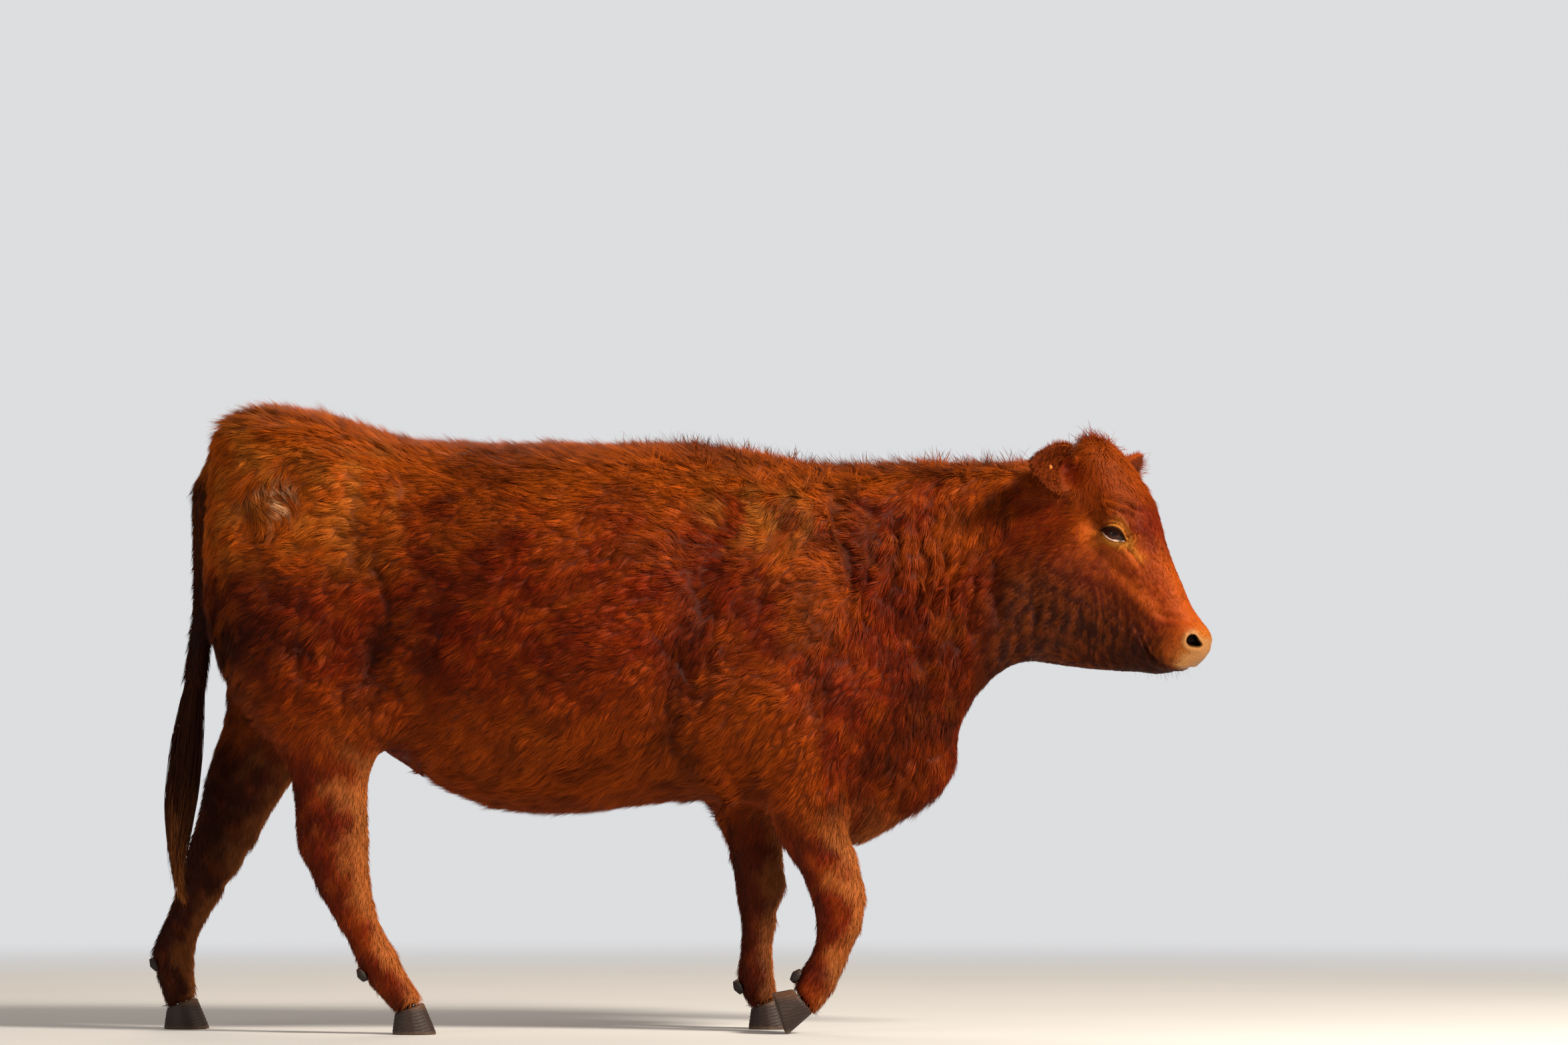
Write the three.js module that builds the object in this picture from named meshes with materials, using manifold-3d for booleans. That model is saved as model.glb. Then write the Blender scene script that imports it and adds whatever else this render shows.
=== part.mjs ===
// A polled red beef heifer, about eighteen months old, as a life-size still model in mid-stride.
//
// Millimetres, +X the way the animal walks, +Y its left side, +Z up. The tables share one datum, with
// the floor at FLOOR; the last lines move the origin to the middle of the footprint, on the floor.
// The flesh is one smooth form: a torso lofted through cross-sections, a head lofted the same way in
// its own turned frame, four limbs made of tapering lengths, and rounded masses for muscle and bone.
// Each node of flesh is that one form, meshed at the node's own fineness and parted by thin flat cuts.
// Hooves, dewclaws, eyes, ears and tail are shapes of their own, fitted against the flesh.

import * as THREE from "three";
import { mergeVertices } from "three/addons/utils/BufferGeometryUtils.js";
import Module from "manifold-3d";

const wasm = await Module();
wasm.setup();

// ---------------------------------------------------------------- driving dimensions

const CUT = 0.6; // width of the thin cuts between nodes
const FIT = 0.5; // clearance of a piece that is set into or against another
const HEAD_TURN = THREE.MathUtils.degToRad(24); // the head looks this far to the animal's right
const HEAD_DROP = THREE.MathUtils.degToRad(36); // slope of the head's own long axis below level
const HEAD_ORIGIN = new THREE.Vector3(886, 0, 950); // middle of the skull's back, in the body's frame
const EYE_RADIUS = 20;
const FLOOR = -10;
const HOOF = { length: 92, height: 64, heel: 0.66, width: 46, gap: 3, rake: 0.36, lean: 6 };

const COAT = { red: 0x7a2a10, deep: 0x431208, face: 0x8a3a14, muzzle: 0xc08a62, horn: 0x3a2a20, eye: 0x120b08 };
const STUD_ORANGE = 0xe0791c;

// Torso cross-sections from rump to throat: place along x, height of back and belly lines,
// half width, the height where it is widest, and the sideways offset of its middle.
const TORSO = [
  { x: -805, top: 1206, bottom: 740, half: 122, level: 1010, side: 0 },
  { x: -745, top: 1236, bottom: 660, half: 172, level: 1000, side: 0 },
  { x: -660, top: 1226, bottom: 600, half: 214, level: 985, side: 0 },
  { x: -560, top: 1212, bottom: 578, half: 232, level: 930, side: 0 },
  { x: -430, top: 1190, bottom: 540, half: 262, level: 860, side: 0 },
  { x: -277, top: 1186, bottom: 456, half: 296, level: 800, side: 0 },
  { x: -100, top: 1187, bottom: 441, half: 312, level: 770, side: 0 },
  { x: 60, top: 1182, bottom: 452, half: 300, level: 760, side: 0 },
  { x: 200, top: 1172, bottom: 452, half: 262, level: 770, side: 0 },
  { x: 330, top: 1148, bottom: 420, half: 225, level: 790, side: 0 },
  { x: 440, top: 1138, bottom: 382, half: 185, level: 800, side: 0 },
  { x: 540, top: 1140, bottom: 440, half: 150, level: 820, side: 0 },
  { x: 630, top: 1144, bottom: 560, half: 122, level: 870, side: -2 },
  { x: 720, top: 1144, bottom: 690, half: 108, level: 930, side: -8 },
  { x: 810, top: 1146, bottom: 752, half: 102, level: 960, side: -16 },
  { x: 900, top: 1150, bottom: 790, half: 92, level: 980, side: -24 },
];
const TORSO_SQUARENESS = { above: 2.25, below: 2.1 };

// Head cross-sections from nape to lips, in the head's frame: u along its axis, then the heights of
// the face line and the jaw line from that axis, the half width and the level where it is widest.
const HEAD = [
  { x: -130, top: 178, bottom: -185, half: 78, level: 40, side: 0 },
  { x: -80, top: 214, bottom: -208, half: 88, level: 45, side: 0 },
  { x: -30, top: 224, bottom: -214, half: 94, level: 40, side: 0 },
  { x: 30, top: 212, bottom: -212, half: 94, level: 30, side: 0 },
  { x: 90, top: 184, bottom: -199, half: 86, level: 20, side: 0 },
  { x: 150, top: 142, bottom: -166, half: 74, level: 5, side: 0 },
  { x: 210, top: 100, bottom: -126, half: 60, level: -5, side: 0 },
  { x: 258, top: 74, bottom: -96, half: 52, level: -5, side: 0 },
  { x: 292, top: 58, bottom: -72, half: 50, level: 0, side: 0 },
  { x: 314, top: 50, bottom: -38, half: 46, level: 8, side: 0 },
];
const HEAD_SQUARENESS = { above: 2.3, below: 2.2 };

// Limbs as joints from the top down: [x, y, z, half thickness fore and aft, half width].
const LIMBS = {
  fore_right: [
    [300, -165, 620, 105, 84],
    [345, -150, 480, 84, 66],
    [358, -136, 406, 72, 56],
    [396, -130, 335, 60, 47],
    [417, -128, 268, 60, 48],
    [418, -127, 220, 50, 42],
    [404, -125, 160, 37, 31],
    [385, -125, 118, 38, 33],
    [370, -125, 94, 41, 38],
    [358, -125, 70, 34, 38],
    [349, -125, 56, 33, 40],
  ],
  fore_left: [
    [225, 165, 620, 105, 84],
    [232, 148, 480, 86, 64],
    [240, 134, 388, 66, 52],
    [252, 127, 325, 54, 44],
    [258, 125, 275, 54, 46],
    [256, 123, 225, 41, 37],
    [250, 120, 160, 33, 29],
    [246, 118, 116, 37, 33],
    [247, 118, 90, 38, 38],
    [258, 118, 62, 33, 38],
    [267, 118, 40, 32, 42],
  ],
  hind_right: [
    [-650, -160, 720, 125, 90],
    [-630, -152, 640, 106, 76],
    [-612, -148, 566, 88, 60],
    [-602, -146, 470, 76, 50],
    [-600, -145, 382, 76, 46],
    [-580, -144, 300, 58, 40],
    [-556, -143, 235, 44, 33],
    [-530, -142, 178, 38, 31],
    [-510, -141, 138, 43, 38],
    [-490, -140, 104, 37, 36],
    [-465, -140, 72, 33, 38],
    [-448, -140, 48, 33, 42],
  ],
  hind_left: [
    [-690, 160, 720, 125, 90],
    [-740, 152, 620, 108, 76],
    [-775, 146, 545, 92, 60],
    [-803, 143, 480, 80, 52],
    [-832, 140, 405, 70, 46],
    [-858, 138, 340, 60, 40],
    [-884, 135, 285, 50, 35],
    [-908, 132, 232, 42, 31],
    [-932, 130, 180, 40, 33],
    [-943, 130, 142, 45, 38],
    [-937, 130, 100, 38, 36],
    [-929, 130, 66, 34, 38],
    [-925, 130, 46, 34, 42],
  ],
};

// Muscle, bone and fat that round out the torso, mirrored to both sides unless one: true.
// at is the middle, size the three half sizes, tilt the nose-down turn in degrees, soft how widely
// it blends into what is round it.
const MASSES = [
  { name: "haunch", at: [-672, 132, 880], size: [190, 112, 300], tilt: -6, soft: 60 },
  { name: "hook bone", at: [-585, 198, 1112], size: [62, 44, 40], tilt: 10, soft: 60 },
  { name: "pin bone", at: [-812, 84, 1120], size: [42, 40, 52], tilt: 0, soft: 50 },
  { name: "tail head", at: [-786, 0, 1200], size: [62, 40, 42], tilt: -12, soft: 50, one: true },
  { name: "rump crest", at: [-700, 0, 1196], size: [140, 90, 50], tilt: 4, soft: 60, one: true },
  { name: "buttock", at: [-778, 104, 880], size: [74, 84, 220], tilt: -4, soft: 60 },
  { name: "stifle", at: [-560, 178, 640], size: [62, 48, 92], tilt: 0, soft: 50 },
  { name: "flank fold", at: [-505, 168, 640], size: [80, 44, 70], tilt: -20, soft: 50 },
  { name: "belly", at: [-190, 0, 600], size: [300, 240, 160], tilt: 2, soft: 60, one: true },
  { name: "shoulder blade", at: [250, 176, 880], size: [120, 62, 230], tilt: 14, soft: 60 },
  { name: "upper arm", at: [300, 184, 640], size: [140, 62, 130], tilt: -24, soft: 60 },
  { name: "shoulder point", at: [462, 120, 700], size: [80, 66, 110], tilt: 0, soft: 50 },
  { name: "elbow", at: [190, 172, 500], size: [66, 42, 60], tilt: -30, soft: 40 },
  { name: "breast", at: [556, 0, 590], size: [100, 92, 160], tilt: -16, soft: 50, one: true },
  { name: "brisket lobe", at: [548, 0, 512], size: [78, 74, 56], tilt: -28, soft: 40, one: true },
  { name: "brisket keel", at: [455, 0, 432], size: [110, 84, 64], tilt: -14, soft: 40, one: true },
  { name: "neck crest", at: [600, 0, 1100], size: [220, 62, 50], tilt: 0, soft: 50, one: true },
  { name: "withers", at: [150, 0, 1120], size: [150, 76, 56], tilt: 4, soft: 50, one: true },
];

// The same for the head, in the head's frame. cut: true hollows instead of filling.
const FEATURES = [
  { name: "poll", at: [-62, 0, 192], size: [62, 62, 44], tilt: 14, soft: 26, one: true },
  { name: "forehead", at: [10, 0, 168], size: [110, 84, 44], tilt: 22, soft: 30, one: true },
  { name: "brow", at: [56, 78, 138], size: [44, 24, 24], tilt: 30, soft: 26 },
  { name: "orbit", at: [78, 78, 112], size: [36, 24, 28], tilt: 0, soft: 26 },
  { name: "cheek", at: [10, 70, -40], size: [84, 32, 112], tilt: -24, soft: 34 },
  { name: "jaw angle", at: [-10, 56, -150], size: [72, 30, 46], tilt: -16, soft: 30 },
  { name: "face crest", at: [150, 58, 50], size: [70, 16, 18], tilt: 24, soft: 18 },
  { name: "nose bridge", at: [200, 0, 86], size: [100, 30, 22], tilt: 27, soft: 20, one: true },
  { name: "muzzle", at: [297, 0, 2], size: [46, 60, 52], tilt: 20, soft: 20, one: true },
  { name: "upper lip", at: [298, 30, -30], size: [42, 28, 24], tilt: -8, soft: 14 },
  { name: "chin", at: [276, 0, -62], size: [40, 36, 22], tilt: -26, soft: 16, one: true },
  { name: "jaw bars", at: [170, 0, -124], size: [100, 40, 24], tilt: -28, soft: 30, one: true },
  { name: "jowl", at: [10, 0, -194], size: [64, 44, 22], tilt: -8, soft: 26, one: true },
  { name: "nostril wing", at: [314, 38, 26], size: [24, 20, 24], tilt: 20, soft: 10 },
  { name: "nostril", at: [322, 50, 24], size: [15, 12, 10], tilt: -20, soft: 5, cut: true },
];

// ---------------------------------------------------------------- the smooth form

// Joins two distances with a rounded seam about `soft` wide.
function join(a, b, soft) {
  const h = Math.max(soft - Math.abs(a - b), 0) / soft;
  return Math.min(a, b) - (h * h * soft) / 4;
}

function hollow(a, b, soft) {
  return -join(-a, b, soft);
}

// A smooth curve through one column of a table of sections, by cubic Hermite steps.
function columnCurve(sections, key) {
  const last = sections.length - 1;
  const slope = (i) => {
    const a = sections[Math.max(i - 1, 0)];
    const b = sections[Math.min(i + 1, last)];
    return (b[key] - a[key]) / (b.x - a.x);
  };
  return (x) => {
    let i = 0;
    while (i < last - 1 && x > sections[i + 1].x) i++;
    const a = sections[i];
    const b = sections[i + 1];
    const span = b.x - a.x;
    const t = THREE.MathUtils.clamp((x - a.x) / span, 0, 1);
    const t2 = t * t;
    const t3 = t2 * t;
    return (
      (2 * t3 - 3 * t2 + 1) * a[key] +
      (t3 - 2 * t2 + t) * span * slope(i) +
      (3 * t2 - 2 * t3) * b[key] +
      (t3 - t2) * span * slope(i + 1)
    );
  };
}

// Signed distance, nearly, to a loft along x whose sections are egg-shaped and end in round caps.
function loftField(sections, squareness) {
  const at = {};
  for (const key of ["top", "bottom", "half", "level", "side"]) at[key] = columnCurve(sections, key);
  const first = sections[0].x;
  const last = sections[sections.length - 1].x;
  return (x, y, z) => {
    const s = THREE.MathUtils.clamp(x, first, last);
    const level = at.level(s);
    const across = y - at.side(s);
    const up = z - level;
    const high = up > 0 ? at.top(s) - level : level - at.bottom(s);
    const n = up > 0 ? squareness.above : squareness.below;
    const wide = at.half(s);
    const reach = Math.hypot(across, up);
    const share = Math.pow(Math.pow(Math.abs(across) / wide, n) + Math.pow(Math.abs(up) / high, n), 1 / n);
    const inPlane = share < 1e-6 ? -Math.min(wide, high) : reach - reach / share;
    const beyond = x - s;
    return beyond === 0 ? inPlane : Math.hypot(beyond, Math.max(inPlane, -40) + 40) - 40;
  };
}

// A limb: lengths that taper from one joint to the next, each an ellipse across.
function limbField(joints) {
  const lengths = joints.slice(1).map((b, i) => {
    const a = joints[i];
    const along = [b[0] - a[0], b[1] - a[1], b[2] - a[2]];
    return { a, b, along, l2: along[0] ** 2 + along[1] ** 2 + along[2] ** 2 };
  });
  return (x, y, z) => {
    let nearest = 1e9;
    for (const { a, b, along, l2 } of lengths) {
      const p = [x - a[0], y - a[1], z - a[2]];
      const dot = p[0] * along[0] + p[1] * along[1] + p[2] * along[2];
      const t = THREE.MathUtils.clamp(dot / l2, 0, 1);
      const thick = a[3] + (b[3] - a[3]) * t;
      const wide = a[4] + (b[4] - a[4]) * t;
      const dy = ((p[1] - along[1] * t) * thick) / wide;
      const d = Math.hypot(p[0] - along[0] * t, dy, p[2] - along[2] * t) - thick;
      nearest = join(nearest, d, 10);
    }
    return nearest;
  };
}

// A rounded mass, with its mirror image unless it is single.
function massField({ at, size, tilt, one }) {
  const c = Math.cos(THREE.MathUtils.degToRad(tilt));
  const s = Math.sin(THREE.MathUtils.degToRad(tilt));
  const least = Math.min(...size);
  const sides = one ? [1] : [1, -1];
  return (x, y, z) => {
    let nearest = 1e9;
    for (const side of sides) {
      const px = x - at[0];
      const py = (y * side - at[1]) / size[1];
      const pz = z - at[2];
      const along = (px * c - pz * s) / size[0];
      const up = (px * s + pz * c) / size[2];
      const share = Math.hypot(along, py, up);
      nearest = Math.min(nearest, (share - 1) * Math.min(least * 1.5, Math.max(...size)) * 0.8);
    }
    return nearest;
  };
}

const torso = loftField(TORSO, TORSO_SQUARENESS);
const skull = loftField(HEAD, HEAD_SQUARENESS);
const limbs = Object.fromEntries(Object.entries(LIMBS).map(([name, limb]) => [name, limbField(limb)]));
const masses = MASSES.map((m) => ({ ...m, field: massField(m) }));
const features = FEATURES.map((m) => ({ ...m, field: massField(m) }));

// The head's frame: u along its axis to the nose, then left, then up from the jaw to the brow.
const headFrame = new THREE.Matrix4().multiplyMatrices(
  new THREE.Matrix4().makeTranslation(HEAD_ORIGIN),
  new THREE.Matrix4().makeRotationFromEuler(new THREE.Euler(0, HEAD_DROP, -HEAD_TURN, "ZYX")),
);
const headFrameBack = headFrame.clone().invert();

function headField(x, y, z) {
  const [a, b, c] = [0, 1, 2].map((row) => {
    const e = headFrameBack.elements;
    return e[row] * x + e[4 + row] * y + e[8 + row] * z + e[12 + row];
  });
  let d = skull(a, b, c);
  for (const m of features) {
    d = m.cut ? hollow(d, m.field(a, b, c), m.soft) : join(d, m.field(a, b, c), m.soft);
  }
  return d;
}

const NEAR_HEAD = 620; // no part of the head lies behind this x
const NECK_BLEND = 46;
const LIMB_BLEND = 46;

function bodyField(x, y, z) {
  let d = torso(x, y, z);
  for (const m of masses) d = join(d, m.field(x, y, z), m.soft);
  for (const name in limbs) d = join(d, limbs[name](x, y, z), LIMB_BLEND);
  if (x > NEAR_HEAD) d = join(d, headField(x, y, z), NECK_BLEND);
  return d;
}

// ---------------------------------------------------------------- meshing and cutting

// The surface where `field` is zero inside a box, as a closed mesh with one vertex to a cell.
function surfaceOf(field, low, high, cell) {
  const count = low.map((v, i) => Math.ceil((high[i] - v) / cell[i]) + 1);
  const step = low.map((v, i) => (high[i] - v) / (count[i] - 1));
  const place = (i, j, k) => [low[0] + i * step[0], low[1] + j * step[1], low[2] + k * step[2]];
  const index = (i, j, k) => (k * count[1] + j) * count[0] + i;
  const values = new Float64Array(count[0] * count[1] * count[2]);
  for (let k = 0; k < count[2]; k++)
    for (let j = 0; j < count[1]; j++)
      for (let i = 0; i < count[0]; i++) {
        const edge = [i, j, k].some((n, axis) => n === 0 || n === count[axis] - 1);
        const d = field(...place(i, j, k));
        values[index(i, j, k)] = edge ? Math.max(d, 1) : d;
      }

  const corners = [0, 1, 2, 3, 4, 5, 6, 7].map((n) => [n & 1, (n >> 1) & 1, (n >> 2) & 1]);
  const edges = [];
  corners.forEach((_, a) => [1, 2, 4].forEach((bit) => a & bit || edges.push([a, a | bit])));
  const vertexOf = new Map();
  const positions = [];
  for (let k = 0; k < count[2] - 1; k++)
    for (let j = 0; j < count[1] - 1; j++)
      for (let i = 0; i < count[0] - 1; i++) {
        const v = corners.map(([a, b, c]) => values[index(i + a, j + b, k + c)]);
        const sum = [0, 0, 0];
        let crossings = 0;
        for (const [a, b] of edges) {
          if (v[a] < 0 === v[b] < 0) continue;
          const t = v[a] / (v[a] - v[b]);
          for (let axis = 0; axis < 3; axis++)
            sum[axis] += corners[a][axis] + (corners[b][axis] - corners[a][axis]) * t;
          crossings++;
        }
        if (!crossings) continue;
        const p = place(i, j, k).map((base, axis) => base + (sum[axis] / crossings) * step[axis]);
        vertexOf.set(index(i, j, k), positions.length / 3);
        positions.push(...settle(field, p, step));
      }

  const faces = [];
  const along = [1, count[0], count[0] * count[1]];
  for (let k = 0; k < count[2] - 1; k++)
    for (let j = 0; j < count[1] - 1; j++)
      for (let i = 0; i < count[0] - 1; i++) {
        const here = index(i, j, k);
        for (let axis = 0; axis < 3; axis++) {
          const inside = values[here] < 0;
          if (inside === values[here + along[axis]] < 0) continue;
          const u = along[(axis + 1) % 3];
          const w = along[(axis + 2) % 3];
          const quad = [here - u - w, here - w, here, here - u].map((n) => vertexOf.get(n));
          if (!inside) quad.reverse();
          faces.push(quad[0], quad[1], quad[2], quad[0], quad[2], quad[3]);
        }
      }
  const geometry = new THREE.BufferGeometry();
  geometry.setAttribute("position", new THREE.Float32BufferAttribute(positions, 3));
  geometry.setIndex(faces);
  return geometry;
}

// Moves a point onto the field's surface, by no more than half a cell.
function settle(field, p, step) {
  const most = Math.min(...step) / 2;
  const probe = 0.5;
  let [x, y, z] = p;
  for (let n = 0; n < 3; n++) {
    const d = field(x, y, z);
    const g = [
      field(x + probe, y, z) - field(x - probe, y, z),
      field(x, y + probe, z) - field(x, y - probe, z),
      field(x, y, z + probe) - field(x, y, z - probe),
    ].map((v) => v / (2 * probe));
    const g2 = g[0] ** 2 + g[1] ** 2 + g[2] ** 2;
    if (g2 < 1e-6) break;
    x -= (d * g[0]) / g2;
    y -= (d * g[1]) / g2;
    z -= (d * g[2]) / g2;
  }
  const moved = Math.hypot(x - p[0], y - p[1], z - p[2]);
  const keep = moved > most ? most / moved : 1;
  return [p[0] + (x - p[0]) * keep, p[1] + (y - p[1]) * keep, p[2] + (z - p[2]) * keep];
}

function solidOf(geometry) {
  const bare = geometry.clone();
  bare.deleteAttribute("normal");
  bare.deleteAttribute("uv");
  const merged = mergeVertices(bare, 1e-3);
  return new wasm.Manifold(
    new wasm.Mesh({
      numProp: 3,
      vertProperties: new Float32Array(merged.attributes.position.array),
      triVerts: new Uint32Array(merged.index.array),
    }),
  );
}

function geometryOf(solid) {
  const mesh = solid.getMesh();
  const geometry = new THREE.BufferGeometry();
  const positions = new Float32Array(mesh.numVert * 3);
  for (let i = 0; i < mesh.numVert; i++)
    positions.set(mesh.vertProperties.subarray(i * mesh.numProp, i * mesh.numProp + 3), i * 3);
  geometry.setAttribute("position", new THREE.BufferAttribute(positions, 3));
  geometry.setIndex(new THREE.BufferAttribute(new Uint32Array(mesh.triVerts), 1));
  geometry.computeVertexNormals();
  return geometry;
}

// Draws together the ends of every edge shorter than `least`, such as a cut leaves where it passes
// close to a corner. The sharper end stays where it is, so that flat cuts stay flat.
function withoutShortEdges(solid, least) {
  const geometry = geometryOf(solid);
  const p = geometry.attributes.position;
  let faces = [];
  for (let i = 0; i < geometry.index.count; i += 3)
    faces.push([0, 1, 2].map((n) => geometry.index.getX(i + n)));
  const points = Array.from({ length: p.count }, (_, i) => new THREE.Vector3().fromBufferAttribute(p, i));
  const normalOf = ([a, b, c]) =>
    new THREE.Triangle(points[a], points[b], points[c]).getNormal(new THREE.Vector3());
  for (let pass = 0; pass < 8; pass++) {
    const round = points.map(() => []);
    faces.forEach((face) => face.forEach((v) => round[v].push(face)));
    const sharpness = round.map((near) => {
      const sum = near.reduce((total, face) => total.add(normalOf(face)), new THREE.Vector3());
      return 1 - sum.length() / Math.max(near.length, 1);
    });
    const short = [];
    for (const face of faces)
      for (let n = 0; n < 3; n++) {
        const [a, b] = [face[n], face[(n + 1) % 3]];
        const length = points[a].distanceTo(points[b]);
        if (a < b && length < least) short.push({ a, b, length });
      }
    short.sort((one, other) => one.length - other.length);
    const settled = new Set();
    const goesTo = points.map((_, i) => i);
    for (const { a, b, length } of short) {
      const [keep, drop] = sharpness[a] >= sharpness[b] ? [a, b] : [b, a];
      const near = [...round[keep], ...round[drop]].flat();
      if (near.some((v) => settled.has(v))) continue;
      const shared = round[drop].filter((face) => face.includes(keep));
      const beside = new Set(round[keep].flat());
      const common = new Set(round[drop].flat().filter((v) => v !== keep && v !== drop && beside.has(v)));
      if (common.size > shared.length) continue;
      const turned = round[drop].some((face) => {
        if (face.includes(keep)) return false;
        const moved = face.map((v) => (v === drop ? keep : v));
        return normalOf(face).dot(normalOf(moved)) < 0.3;
      });
      if (turned && length > 0.5) continue;
      goesTo[drop] = keep;
      near.forEach((v) => settled.add(v));
    }
    if (!settled.size) break;
    faces = faces.map((face) => face.map((v) => goesTo[v])).filter(([a, b, c]) => a !== b && b !== c && c !== a);
  }
  const used = new Map();
  faces.flat().forEach((v) => used.has(v) || used.set(v, used.size));
  const tidy = new THREE.BufferGeometry();
  tidy.setAttribute(
    "position",
    new THREE.Float32BufferAttribute([...used.keys()].flatMap((v) => points[v].toArray()), 3),
  );
  tidy.setIndex(faces.flat().map((v) => used.get(v)));
  return solidOf(tidy);
}

// The largest of a solid's separate bodies, which drops slivers that a cut leaves behind.
function mainBody(solid) {
  const bodies = solid.decompose();
  return bodies.reduce((a, b) => (b.volume() > a.volume() ? b : a));
}

function boxSolid(size, middle, turn = [0, 0, 0]) {
  const box = new THREE.BoxGeometry(...size);
  box.applyMatrix4(new THREE.Matrix4().makeRotationFromEuler(new THREE.Euler(...turn)));
  box.translate(...middle);
  return solidOf(box);
}

// Everything on the far side of a plane, as a very large box that starts `gap` beyond it.
function beyondPlane(point, normal, gap) {
  const reach = 4000;
  const box = new THREE.BoxGeometry(reach, reach, reach);
  box.translate(0, 0, reach / 2 + gap);
  const way = new THREE.Vector3(...normal).normalize();
  box.applyQuaternion(new THREE.Quaternion().setFromUnitVectors(new THREE.Vector3(0, 0, 1), way));
  box.translate(...point);
  return solidOf(box);
}

const opposite = (normal) => normal.map((v) => -v);

// ---------------------------------------------------------------- where the flesh is parted

const headToBody = (u, left, up) => new THREE.Vector3(u, left, up).applyMatrix4(headFrame).toArray();
const headWay = (u, left, up) => new THREE.Vector3(u, left, up).transformDirection(headFrame).toArray();

const NECK_CUT = { point: [440, 0, 850], normal: [Math.cos(0.37), 0, Math.sin(0.37)] };
const HEAD_CUT = { point: [846, 0, 950], normal: headWay(1, 0, 0.466) };
const MUZZLE_CUT = { point: headToBody(286, 0, 0), normal: headWay(1, 0, 0.1) };
const MOUTH_CUT = { point: headToBody(240, 0, -31), normal: headWay(-0.2, 0, -1) };
const JAW_CUT = { point: headToBody(206, 0, -40), normal: headWay(1, 0, 0.1) };

// A box round each limb under a sloping roof: the flesh inside is the limb, the rest is the trunk.
// top is how high the limb's own mesh must reach.
const HIND_ROOF = { point: [-524, 0, 580], normal: [0.22, 0, 1] };
const LIMB_BOXES = {
  fore_right: {
    size: [350, 300, 700],
    middle: [331, -208, 183],
    turn: -0.19,
    roof: { point: [270, 0, 467], normal: [-0.19, 0, 1] },
    top: 600,
  },
  fore_left: {
    size: [330, 300, 700],
    middle: [262, 208, 183],
    turn: -0.04,
    roof: { point: [250, 0, 455], normal: [-0.12, 0, 1] },
    top: 600,
  },
  hind_right: { size: [395, 300, 900], middle: [-638, -150 - CUT, 300], turn: -0.225, roof: HIND_ROOF, top: 790 },
  hind_left: { size: [480, 300, 900], middle: [-800, 150 + CUT, 250], turn: 0, roof: HIND_ROOF, top: 790 },
};

// Where each limb is parted again at the knee or hock.
const LIMB_JOINTS = {
  fore_right: { point: [410, -128, 214], normal: [-0.1, 0, -1] },
  fore_left: { point: [256, 124, 216], normal: [0, 0, -1] },
  hind_right: { point: [-575, -144, 290], normal: [0.3, 0, -1] },
  hind_left: { point: [-880, 136, 295], normal: [-0.4, 0, -1] },
};

function limbRegion(name, grown = 0) {
  const { size, middle, turn, roof } = LIMB_BOXES[name];
  const box = boxSolid(size.map((s) => s + grown), middle, [0, turn, 0]);
  return box.subtract(beyondPlane(roof.point, roof.normal, grown / 2));
}

// ---------------------------------------------------------------- hooves and dewclaws

// One claw of a foot, toe towards +x with its heel at the origin: a tapering cylinder whose wall
// slopes forward, flattened on the side that faces its twin.
function clawGeometry() {
  const { length, width, rake, lean } = HOOF;
  const claw = new THREE.CylinderGeometry(1, 1, 1, 14, 2);
  claw.rotateX(Math.PI / 2);
  const p = claw.attributes.position;
  for (let i = 0; i < p.count; i++) {
    const up = p.getZ(i) + 0.5;
    const along = (1 + p.getX(i)) / 2;
    const across = Math.max(p.getY(i), -0.55);
    const nose = 1 - 0.24 * Math.max(p.getX(i), 0) ** 2;
    const x = length * (1 - rake * up) * along + up * lean;
    p.setXYZ(i, x, (across + 0.55) * (width / 1.55) * (1 - 0.12 * up) * nose, up * coronetHeight(along));
  }
  return claw;
}

// The claw's wall is low at the heel and high at the toe.
function coronetHeight(along) {
  return HOOF.height * (HOOF.heel + (1 - HOOF.heel) * along);
}

// The flat that the claws' tops lie in, in the claw's own frame.
const CORONET = {
  point: [HOOF.lean + (HOOF.length * (1 - HOOF.rake)) / 2, 0, coronetHeight(0.5)],
  normal: [coronetHeight(0) - coronetHeight(1), 0, HOOF.length * (1 - HOOF.rake)],
};

function dewclawGeometry() {
  const claw = new THREE.SphereGeometry(1, 6, 4);
  claw.scale(12, 11, 18);
  return claw;
}

// ---------------------------------------------------------------- ears, eyes and tail

const EAR = { length: 165, width: 128, thick: 13, curl: { root: 1.45, tip: 0.85 } };

// A plastic tag stud pinned through the right ear: where its shank crosses the ear's middle, in the
// ear's own frame, how far it leans, and its radii.
const STUD = { along: 86, across: 1, level: -2, lean: 0, head: 6.5, shank: 2.6, back: 9, reach: 7.5 };

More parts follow.
